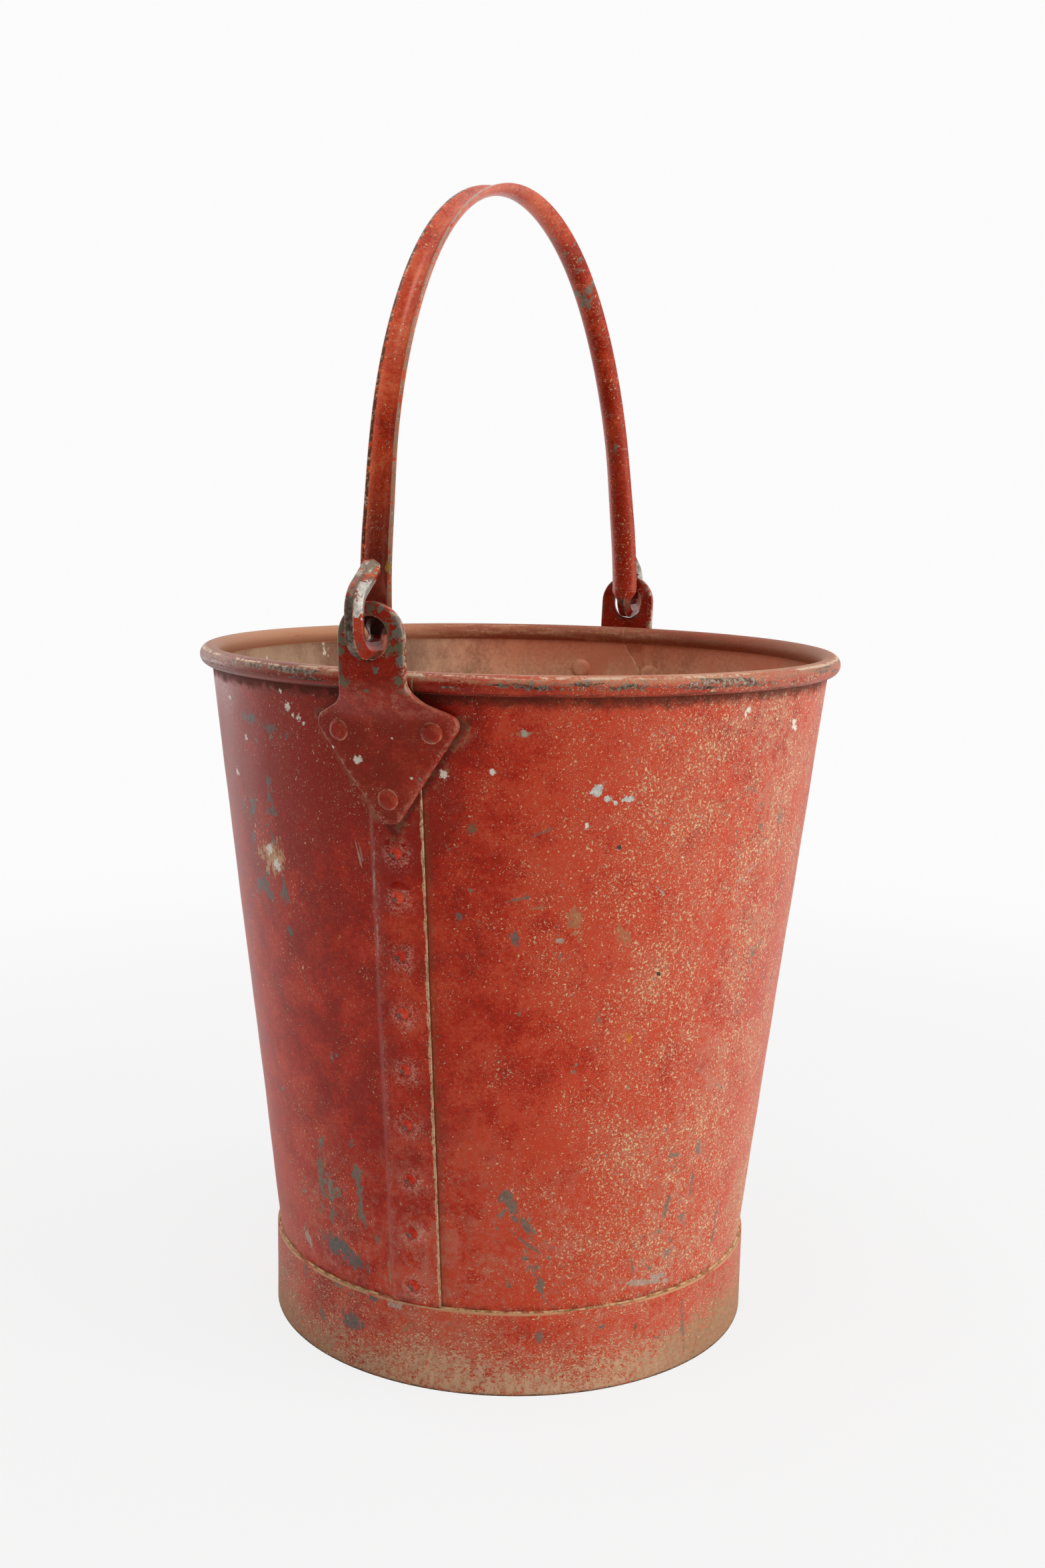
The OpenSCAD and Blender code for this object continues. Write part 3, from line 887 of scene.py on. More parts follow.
class BodyFinish:
    """Paint of the two body sheets, outside and inside."""

    patches = ((-24, 64, 20, 0.5), (-20, 92, 30, 0.62), (-33, 80, 26, 0.55), (23, 86, 22, 0.4),
        (27, 60, 26, 0.4), (60, 110, 40, 0.42), (60, 62, 30, 0.42), (70, 255, 42, 0.42),
        (75, 190, 40, 0.3), (-33, 250, 26, 0.4), (-30, 217, 20, 0.4), (-24, 292, 18, 0.45),
        (30, 198, 16, 0.3), (48, 190, 50, 0.25), (100, 60, 50, 0.45), (120, 130, 60, 0.5),
        (-120, 160, 70, 0.5), (-80, 70, 50, 0.5), (160, 240, 50, 0.45), (-150, 80, 60, 0.5))
    blots = ((-20.6, 302.6, 1.7, WHITE), (-19.2, 299, 1, WHITE), (-18, 298.4, 1.5, WHITE),
        (-16.8, 296.4, 0.9, WHITE), (-22, 308.8, 1, WHITE), (-41, 301.5, 1.3, WHITE),
        (-41.5, 267.6, 1.8, WHITE), (-35.2, 285, 1.2, WHITE), (10, 280, 2, WHITE), (18, 282, 1.4, WHITE),
        (-28.4, 231, 2.9, WHITE), (-30.6, 237, 2.3, WHITE), (34, 260, 1, WHITE), (23, 298, 1.6, STONE),
        (79, 296, 2, WHITE), (80, 294, 1.5, WHITE), (64, 305, 1.6, WHITE), (63.4, 303, 1.1, WHITE),
        (-1.2, 200, 0.9, WHITE), (-3.2, 172, 1.6, STONE), (-12, 205, 0.8, ORANGE),
        (50, 193, 1.1, rgb(52, 60, 68)), (40, 250, 1.2, rgb(72, 66, 62)))
    flakes = (Flakes(TAN, ((-29.6, 234, 14, 17, 0, 1), (33, 214, 4.4, 3.2, 40, 0.8))),
        Flakes(ZINC, ((35.6, 274.5, 4.5, 3.6, 30, 1), (37.2, 271.2, 4, 2.4, -50, 1),
        (41.2, 270.6, 5.4, 2.8, 84, 1), (38.8, 269, 2, 1.6, 0, 1))),
        Flakes(ORANGE, ((44.9, 164.3, 9.5, 2.2, -24, 1),)),
        Flakes(SLATE, ((-20.5, 56, 21, 10, -76, 1), (-15.5, 52.5, 14, 8, -80, 1), (-28.4, 257, 13, 6, 4),
        (-35.9, 254.2, 8, 6, 6), (-40.1, 253.6, 5, 4, 0, 0.8), (-28.1, 268.9, 5, 3.4, 0),
        (-37, 239.6, 4.4, 4, 0), (-29, 243.7, 9, 2.8, -30, 0.8), (-34.5, 218.8, 9, 11, -20),
        (-26.6, 219.6, 9, 5, 0), (-31.8, 215.2, 4, 4, 0), (-26.3, 202.1, 4.4, 6, 0),
        (-33.1, 294, 4, 12, 0), (-26.4, 291.5, 4, 9, 0, 0.8), (-21.2, 290, 3, 3.4, 0, 0.8),
        (22.5, 211.9, 6, 3.5, 5, 0.85), (12.1, 220.7, 3, 3, 0, 0.8))),
        Flakes(ASH, ((-12.1, 92.5, 13, 6, -10), (-23.5, 87.8, 18, 5, -5, 0.85),
        (-11.8, 77.6, 12, 4, -3, 0.85), (-20.8, 72, 8, 4, 17, 0.85), (-22.2, 104.5, 5, 3, 18, 0.8),
        (-13.1, 110.3, 6, 2.4, 13, 0.8), (-8, 66, 5, 3, 0, 0.7), (22.5, 89.6, 17, 5.4, -40),
        (20.8, 94.6, 9, 4.6, 64), (25.5, 81.7, 11, 3, -36), (27.3, 70.3, 22, 1.7, -55, 0.75),
        (29.2, 52.6, 16, 3.4, -22), (28, 60.5, 6, 4, 0), (76.6, 62.4, 22, 2.2, 2, 0.8),
        (50.3, 57.2, 8, 1.6, -11, 0.8), (65, 91, 15, 2, -2, 0.8), (58, 80, 9, 2.6, 6, 0.8),
        (22.6, 228.5, 14, 1.4, 74, 0.75), (25.5, 256, 8, 1.6, 62, 0.5), (79, 254, 6, 4, 0, 0.6))),
        Flakes(STONE, ((-32.1, 52.2, 8, 6, -60, 0.8), (54.1, 46.4, 28, 2.2, -82, 0.75),
        (58, 47.6, 10, 2.8, -86, 0.8), (-6.8, 244.9, 17, 0.7, -11, 0.6), (-6.1, 244.2, 9, 0.6, -13, 0.5),
        (-3.4, 234.9, 17, 1.2, 5, 0.55), (-3.3, 205, 20, 1, 2, 0.5), (29.9, 210.5, 3.6, 2, 80, 0.8),
        (70.5, 233.3, 11, 0.9, 62, 0.7), (48.9, 229.7, 8, 0.8, -48, 0.7))),
        Flakes(KHAKI, ((-5.1, 52.3, 14, 1.8, -4, 0.6), (23.7, 298, 12, 1.5, 84, 0.6),
        (26.3, 225, 6, 1.2, 80, 0.6), (63.3, 267.8, 34, 0.9, 70, 0.55), (32.7, 219.6, 15, 6, -20, 0.6),
        (42, 211, 9, 5, -30, 0.5))), Flakes(OLIVE, ((14.6, 258, 3, 2.4, 0, 0.8),)))

    def __init__(self, effects: Effects) -> None:
        """Keeps the groups and names the paint."""
        self.effects = effects
        self.paint = PaintFinish("body_paint", specks=0.26, chips=0.06, dust=0.06, chip_scale=130,
            grain=(1, 1, 0.85), scratches=0.05)

    def build(self) -> Material:
        """The material: worn red outside, with painted light and shade in places, brown dust inside."""
        material, graph, position = new_material(self.paint.name)
        place = graph.group(self.effects.place, Position=position)
        height, radius = place["Height"], place["Radius"]
        side, arc = place["Side"], place["Arc"]
        worn = graph.total(*[Patch(*row).mask(graph, side, height) for row in self.patches])
        right = side.rise(6, 55)
        # Whitish dust near the right silhouette, about 100 degrees round: partly real dust and partly a
        # painted reflection of the white surroundings at the grazing edge.
        edge = abs(side - 100).rise(60, 20)
        low = height.rise(0.15, 0.045)
        halo = graph.group(self.effects.halo, Height=height, Arc=arc)
        # Painted light and shade in the tones: brighter towards the right, where the light falls, and
        # painted shade on the upper wall from the front leftwards, under the rolled rim.
        shade = height.rise(0.18, 0.3) * side.rise(30, 4)
        layers = self.paint.layers(graph, self.effects, position,
            specks=right * 0.6 + low * 0.08 + worn * 0.3, chips=worn,
            dust=edge * 0.8 + right * 0.1 + low * 0.6,
            balance=side.rise(4, 34) * 0.16 + low * 0.1 + shade * -0.17 - 0.04)
        broken = graph.mottle(position, 190, 4, 0.65)
        self._seam(graph, layers, height, arc, halo, broken, graph.mottle(position, 1000, 3, 0.68))
        self._dirt_and_painted_shade(graph, layers, height, arc, broken)
        self._rim(graph, position, layers, height, radius, side)
        layers.flake(side, height, self.flakes)
        layers.splash([Blot(at_wall(a, z), r * MM, c) for a, z, r, c in self.blots])
        self._inside(graph, position, layers, height, radius)
        self.paint.dress(layers)
        return material

    def _seam(self, graph: Graph, layers: Layers, height: Signal, arc: Signal, halo: dict[str, Signal],
            broken: Signal, grain: Signal) -> None:
        """Chafed rings round the rivets with painted shade at the heads' feet, a rubbed ridge with a
        painted highlight, and cream, dirt and a painted shadow at the seam's edge.

        Args:
            graph: the material's graph.
            layers: the layers so far, which are changed.
            height, arc: where a point lies, in metres.
            halo: the rivets' halo.
            broken, grain: coarse and fine mottling.
        """
        on_wall = height.rise(0.0385, 0.0392)
        below_lug = height.rise(0.262, 0.25) * on_wall
        # A broad pinkish streak down the joggle's ridge: a painted highlight.
        soft = arc.bump_at(-0.0093, 0.0052) * broken.rise(0, 0.7) * below_lug * 0.42
        layers.cover(soft, rgb(166, 78, 70))
        chafe = grain + broken * 0.45
        ring = halo["Ring"] * chafe.rise(0.35, 1.05) * 0.32
        wide = halo["Wide"] * chafe.rise(0.6, 1.2) * 0.65
        # The thin pale line on the ridge is chafed paint and a painted highlight.
        ridge = arc.bump_at(-0.0093, 0.0021) * chafe.rise(0.75, 1.2) * 0.28
        pale = graph.most(ring, wide, ridge) * below_lug
        layers.cover(pale, rgb(234, 186, 164))
        # A darker ring in the crease at each head's foot: painted shade, with some grime.
        crease_shade = halo["Tight"] * below_lug * broken.rise(0.1, 0.9) * 0.3
        layers.cover(crease_shade, rgb(110, 34, 20))
        # Right of the outer sheet's edge, a khaki band and a dark line: dirt together with a painted
        # shadow of the step.
        wander = arc + broken * 0.0012
        soft = (wander.rise(0.0172, 0.0128) * arc.rise(0.01195, 0.01205) * broken.rise(0, 0.6) * on_wall
            * 0.5)
        layers.cover(soft, rgb(128, 84, 52))
        dark = arc.bump_at(0.0124, 0.0007) * on_wall * 0.6
        layers.cover(dark, rgb(74, 48, 28))
        edge = wander.rise(0.0118, 0.0122) * arc.rise(0.0121, 0.012) * grain.rise(0.1, 0.5) * on_wall
        layers.cover(edge * 0.8, rgb(226, 192, 148))
        layers.roughen(graph.most(pale, soft), 0.6)

    def _dirt_and_painted_shade(self, graph: Graph, layers: Layers, height: Signal, arc: Signal, broken: Signal) -> None:
        """Painted shade under the rolled rim, a painted shadow and khaki dust along the lugs' edges, and
        a dark line of dirt and painted shade above the hoop's edge.

        Args:
            graph: the material's graph.
            layers: the layers so far, which are changed.
            height, arc: where a point lies, in metres.
            broken: coarse mottling.
        """
        wall = height.rise(0.3135, 0.3128)
        # Painted shade on the wall under the rolled rim.
        under = (height.rise(0.3035, 0.3125) + broken * 0.5).rise(0.5, 1.3)
        up = height - 0.2537
        out = abs(arc + up * 0.0355 + 0.0002) * 0.817 - up * 0.576
        beside = height.rise(0.249, 0.254) * height.rise(0.306, 0.3)
        dusty = out.rise(0.0062, 0.0015) * beside * broken.rise(0.35, 0.75) * 0.7
        layers.cover(dusty, rgb(170, 120, 88))
        # A dark band along the lugs' edges: a painted shadow of the standing plate, with grime.
        crease_shade = out.rise(0.0028, 0.0004) * beside
        # A dark line just above the hoop: dirt and painted shade in the step.
        hoop_line = height.rise(0.0425, 0.0392) * broken.rise(0.25, 0.75)
        dark = graph.most(under, crease_shade * 0.7, hoop_line * 0.7) * wall
        layers.cover(dark * 0.8, rgb(64, 32, 22))
        layers.roughen(graph.most(dark, dusty), 0.75)

    def _rim(self, graph: Graph, position: Signal, layers: Layers, height: Signal, radius: Signal,
            side: Signal) -> None:
        """The rolled rim: a brown film on top and within, rubbed to grey and black along its outside,
        with painted shade along its underside and a painted highlight along its top.

        Args:
            graph: the material's graph.
            position: Object coordinates.
            layers: the layers so far, which are changed.
            height, radius, side: where a point lies, in metres and degrees.
        """
        on_rim = height.rise(0.3126, 0.3132)
        half = graph.math("LESS_THAN", side, 0)
        along = graph.joined(side * (0.0026 / 5) + half, height * 1.5, radius * 1.5)
        long = graph.mottle(along, 190, 6, 0.7)
        fine = graph.mottle(position, 520, 4, 0.68)
        broken = long * 0.68 + fine * 0.32
        outside = radius.rise(0.1466, 0.1478)
        near_left = side.rise(-8, -16) * side.rise(-95, -50)
        near_right = side.rise(20, 45) * side.rise(130, 95)
        tint = on_rim * (0.3 + near_left * 0.35)
        layers.cover(tint, rgb(116, 44, 28))
        top = height.rise(0.3168, 0.3196)
        inner = radius.rise(0.147, 0.1445)
        film = (on_rim * graph.most(top * 0.85, inner)
            * (broken + inner * 0.3 + near_right * 0.1).rise(0.12, 0.68))
        back = side.rise(45, 100) * side.rise(178, 160)
        brown = graph.mix(back * 0.85, rgb(196, 146, 112), rgb(146, 94, 68))
        brown = graph.mix(near_left * 0.7, brown, rgb(136, 100, 82))
        far = abs(side).rise(120, 150) * inner
        brown = graph.mix(far * broken.rise(0.9, 0.4) * 0.8, brown, rgb(150, 78, 56))
        layers.cover(film * 0.9, brown)
        band = height.rise(0.3146, 0.317) * height.rise(0.3212, 0.3196) * outside
        worn = broken + near_left * 0.16 + near_right * 0.1
        bare = worn.rise(0.63, 0.7) * band.rise(0.1, 0.6) * on_rim
        # Dark along the outer underside of the roll: painted shade with some dirt.
        foot = (height.rise(0.3146, 0.3138) * radius.rise(0.1462, 0.1474) * on_rim * broken.rise(0.3, 0.6)
            * 0.75)
        layers.cover(foot, rgb(64, 30, 20))
        layers.cover(bare * 0.95, graph.mix(fine.rise(0.3, 0.85), rgb(38, 35, 30), rgb(142, 134, 118)))
        # A thin broken cream line along the top of the roll: a painted highlight.
        line = (height.bump_at(0.3205, 0.0009) * radius.rise(0.1452, 0.146) * broken.rise(0.42, 0.56)
            * 0.85)
        layers.cover(line, rgb(236, 206, 176))
        layers.roughen(film, 0.55)
        layers.roughen(bare, 0.36)
        layers.metallic = bare * 0.3
        layers.height = layers.height - bare * 0.6

    def _inside(self, graph: Graph, position: Signal, layers: Layers, height: Signal,
            radius: Signal) -> None:
        """Brown dust over old red inside.

        Args:
            graph: the material's graph.
            position: Object coordinates.
            layers: the layers so far, which are changed.
            height, radius: where a point lies, in metres.
        """
        x, y, _ = graph.parts(position)
        across, away, _ = graph.parts(graph.coordinates("Normal"))
        facing = (x * across + y * away).rise(-0.02, -0.05)
        inner = graph.most(inside_mask(graph, height, radius), facing * height.rise(0.3134, 0.3126))
        dirt = graph.group(self.effects.dirt, Position=position)
        layers.cover(inner, dirt["Color"])
        layers.roughen(inner, 0.85)
        layers.height = graph.blend(inner, layers.height, dirt["Value"] * 0.8)


def inside_mask(graph: Graph, height: Signal, radius: Signal) -> Signal:
    """1 on what lies inside the wall, and 0 on and outside it."""
    middle = (height - SIZES.hoop_h * MM) * SIZES.slope + (SIZES.foot_d / 2 - SIZES.sheet_t / 2) * MM
    return graph.math("LESS_THAN", radius, middle) * height.rise(0.3134, 0.3126)


# Mesh tools


@dataclass
class Workshop:
    """Makes finished pieces and keeps count of them."""

    made: list[str] = field(default_factory=list)

    def piece(self, name: str, bm: Mesh, body: Body, materials: list, slot: str,
            stands_for: tuple[str, ...] = (), sharp: float = 40.0) -> bpy.types.Object:
        """Turns a mesh in millimetres into a piece that rides on its body.

        Args:
            name: the piece's name.
            bm: the mesh, which is freed.
            body: the body that it rides on.
            materials: its materials in order.
            slot: name of a material slot; not used.
            stands_for: CAD nodes that it replaces.
            sharp: edges sharper than this angle stay sharp, in degrees.

        Returns:
            The piece.
        """
        bmesh.ops.scale(bm, vec=(MM, MM, MM), verts=bm.verts)
        mesh = bpy.data.meshes.new(name)
        bm.to_mesh(mesh)
        bm.free()
        mesh.polygons.foreach_set("use_smooth", [True] * len(mesh.polygons))
        mesh.set_sharp_from_angle(angle=radians(sharp))
        for material in materials:
            mesh.materials.append(material)
        piece = bpy.data.objects.new(name, mesh)
        bpy.context.scene.collection.objects.link(piece)
        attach(piece, body.value)
        if stands_for:
            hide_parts(*stands_for)
        self.made.append(name)
        LOG.info("%s: %d points, stands for %s", name, len(mesh.vertices), list(stands_for))
        return piece


def chain(bm: Mesh, points: list[tuple[float, float]], closed: bool = False) -> list:
    """Joins points given as (radius, height) into a line in the plane of -Y.

    Args:
        bm: the mesh to add to.
        points: the line's points.
        closed: whether the last point joins the first.

    Returns:
        The new points and edges, ready to spin.
    """
    row = bm.verts.layers.int.get("row") or bm.verts.layers.int.new("row")
    verts = []
    for index, (radius, z) in enumerate(points):
        vert = bm.verts.new((0, -radius, z))
        vert[row] = index
        verts.append(vert)
    pairs = zip(verts, verts[1:] + (verts[:1] if closed else []))
    return verts + [bm.edges.new(pair) for pair in pairs]


def spin(bm: Mesh, points: list[tuple[float, float]], steps: int, angle: float = 2 * pi,
        closed: bool = False) -> None:
    """Turns a line about Z, from -Y towards +X.

    Args:
        bm: the mesh to add to.
        points: (radius, height) of the line.
        steps: divisions round the axis.
        angle: how far it turns; a full turn is closed up.
        closed: whether the line is a closed section.
    """
    bmesh.ops.spin(bm, geom=chain(bm, points, closed), cent=(0, 0, 0), axis=(0, 0, 1), dvec=(0, 0, 0),
        angle=angle, steps=steps, use_merge=angle == 2 * pi, use_duplicate=False)


def turned(points: list[tuple[float, float]], steps: int, closed: bool = False) -> Mesh:
    """A full turn of a line about Z.

    Args:
        points: (radius, height) of the line.
        steps: divisions round the axis.
        closed: whether the line is a closed section.

    Returns:
        The mesh, with its normals outwards.
    """
    bm = bmesh.new()
    spin(bm, points, steps, closed=closed)
    bmesh.ops.remove_doubles(bm, verts=bm.verts, dist=0.001)
    bmesh.ops.recalc_face_normals(bm, faces=bm.faces)
    return bm


@dataclass(frozen=True)
class BodySheets:
    """The two half shells, each with its lap, joggle and half of the rolled rim."""

    workshop: Workshop
    paint: Material
    edge: Material
    joggle: tuple[float, float] = (-12.4, -9.6)
    columns: int = 150
    start_columns: int = 14
    end_columns: int = 44
    end_reach: float = 33.455
    lap_columns: int = 29
    hoop_row: int = 2

    def profile(self) -> list[tuple[float, float]]:
        """The sheet's middle line from foot to rolled edge, as (radius, height)."""
        s = SIZES
        half = s.sheet_t / 2
        heights = [s.wall_end_z, 25, s.hoop_h, s.hoop_h + 0.05, 40.5, 42.5, 45]
        heights += [45 + 3 * i for i in range(1, 87)]
        heights += [305, 307.5, 309.5, 311, 312.2]
        line = [(s.wall_r(z) - half, z) for z in heights]
        for degrees in range(240, -76, -12):
            angle = radians(degrees)
            line.append((s.bead_at + s.bead_r * cos(angle), s.bead_z + s.bead_r * sin(angle)))
        return line

    @staticmethod
    def dent(angle: float, z: float) -> float:
        """How far the wall stands out of true, in millimetres.

        Args:
            angle: angle about Z.
            z: height.

        Returns:
            The distance.
        """
        at = Vector((cos(angle) * 2.1, sin(angle) * 2.1, z / 70))
        fade = smooth(44, 80, z) * smooth(312, 290, z) if z < 312 else 0
        return fade * (0.45 * noise.noise(at) + 0.16 * noise.noise(at * 3.3 + Vector((5, 1, 2))))

    def lap_rise(self, x: float, z: float) -> float:
        """How far the outer sheet is lifted at the distance x past the seam's rivet line.

        Args:
            x: distance past the line.
            z: height.

        Returns:
            The lift.
        """
        if z <= SIZES.hoop_h:
            return 0
        ridge = 0.3 * math.exp(-(((x + 8.9) / 1.5) ** 2))
        return (SIZES.rise * smooth(*self.joggle, x) + ridge) * smooth(313.2, 308.5, z)

    def ends(self, z: float, on_bead: bool) -> tuple[float, float]:
        """Distances from the seams' lines at which the sheet starts and ends.

        Args:
            z: height on the sheet.
            on_bead: whether it is the rolled rim, which isn't lapped.

        Returns:
            The start past the first seam and the end past the last one, in millimetres.
        """
        s = SIZES
        if on_bead:
            return 0.1, -0.1
        top = s.bead_z - s.bead_r - s.sheet_t / 2 - 0.3
        share = min(1, max(0, (top - z) / s.mitre_h))
        return -s.lap_inner * share + 0.1 * (1 - share), s.lap_outer * share - 0.1 * (1 - share)

    def sheet(self, first: float, last: float) -> Mesh:
        """One sheet between two seam lines.

        Args:
            first: angle of the seam line where it lies inside, from -Y towards +X.
            last: angle of the seam line where it lies outside.

        Returns:
            The sheet's middle surface.
        """
        line = self.profile()
        wall_rows = len(line) - 27
        bm = bmesh.new()
        total = last - first
        spin(bm, line, self.columns, total)
        row = bm.verts.layers.int["row"]
        middle = self.columns - self.start_columns - self.end_columns
        under_lap = set()
        for vert in bm.verts:
            angle = math.atan2(vert.co.x, -vert.co.y) % (2 * pi)
            column = round(angle / total * self.columns)
            if column >= self.columns - self.lap_columns:
                under_lap.add(vert)
            radius, z = line[vert[row]]
            start, end = self.ends(z, vert[row] > wall_rows)
            near = first + (start + min(column, self.start_columns)) / radius
            far = (last + (end - self.end_reach * min(1, (self.columns - column) / self.end_columns))
                / radius)
            if column <= self.start_columns:
                at = near
            elif column >= self.columns - self.end_columns:
                at = far
            else:
                at = lerp(near, far, (column - self.start_columns) / middle)
            if vert[row] <= wall_rows:
                radius += self.lap_rise((at - last) * radius, z) + self.dent(at, z)
            vert.co = (radius * sin(at), -radius * cos(at), z)
        gone = [face for face in bm.faces if all(vert in under_lap for vert in face.verts)
            and min(vert[row] for vert in face.verts) <= self.hoop_row]
        bmesh.ops.delete(bm, geom=gone, context="FACES")
        bmesh.ops.recalc_face_normals(bm, faces=bm.faces)
        outward = sum(face.normal.xy.dot(face.calc_center_median().xy) for face in bm.faces
            if face.calc_center_median().z < 250)
        if outward < 0:
            bmesh.ops.reverse_faces(bm, faces=bm.faces)
        return bm

    def build(self) -> None:
        """Both sheets, given their thickness."""
        turn = radians(SIZES.seam_turn)
        spans = {"body_sheet_left": (pi - turn, 2 * pi + turn), "body_sheet_right": (turn, pi - turn)}
        for node, (first, last) in spans.items():
            piece = self.workshop.piece(node + "_skin", self.sheet(first, last), Body.BUCKET,
                [self.paint, self.edge], "body_paint", (node,), 60)
            thick = piece.modifiers.new("thickness", "SOLIDIFY")
            thick.thickness = SIZES.sheet_t * MM
            thick.offset = 0
            thick.use_even_offset = True
            thick.material_offset_rim = 1


@dataclass(frozen=True)
class FootHoop:
    """The strip round the foot, and the sealing line along its upper edge."""

    workshop: Workshop
    paint: Material
    putty: Material
    edge: float = 0.45
    steps: int = 192
    putty_steps: int = 300
    foot_play: float = 0.5

    def section(self) -> list[tuple[float, float]]:
        """The strip's section with soft edges."""
        s = SIZES
        inner = s.foot_d / 2 + s.fit
        outer = inner + s.hoop_t
        e = self.edge
        side = [(outer, z) for z in (e, 3, 8, 14, 20, 26, 32, 36, s.hoop_h - e)]
        return ([(inner + 0.1, e), (inner + e, 0.05), (outer - e, 0), (outer - 0.12, 0.14)] + side
            + [(outer - 0.12, s.hoop_h - 0.12), (outer - e, s.hoop_h), (inner, s.hoop_h), (inner, 20)])

    def build(self) -> None:
        """The hoop, a little out of true at its foot, and its putty."""
        hoop = turned(self.section(), self.steps, closed=True)
        for vert in hoop.verts:
            angle = math.atan2(vert.co.x, -vert.co.y)
            low = smooth(34, 2, vert.co.z)
            at = Vector((cos(angle) * 1.6, sin(angle) * 1.6, vert.co.z / 30))
            push = low * self.foot_play * (noise.noise(at) - 0.5)
            vert.co.x *= 1 + push / 115
            vert.co.y *= 1 + push / 115
        self.workshop.piece("foot_hoop_skin", hoop, Body.BUCKET, [self.paint], "hoop_paint",
            ("foot_hoop",), 35)
        s = SIZES
        wall = s.foot_d / 2
        line = turned([(wall + 0.05, s.hoop_h - 0.05), (wall + 0.85, s.hoop_h - 0.05),
            (wall + 0.8, s.hoop_h + 0.12), (wall + 0.45, s.hoop_h + 0.42), (wall + 0.1, s.hoop_h + 0.62)],
            self.putty_steps, closed=True)
        for vert in line.verts:
            angle = math.atan2(vert.co.x, -vert.co.y)
            at = Vector((cos(angle) * 22, sin(angle) * 22, 0))
            if vert.co.z > s.hoop_h:
                vert.co.z = s.hoop_h + (vert.co.z - s.hoop_h) * (1 + 0.6 * noise.noise(at))
        self.workshop.piece("hoop_putty", line, Body.BUCKET, [self.putty], "hoop_paint")


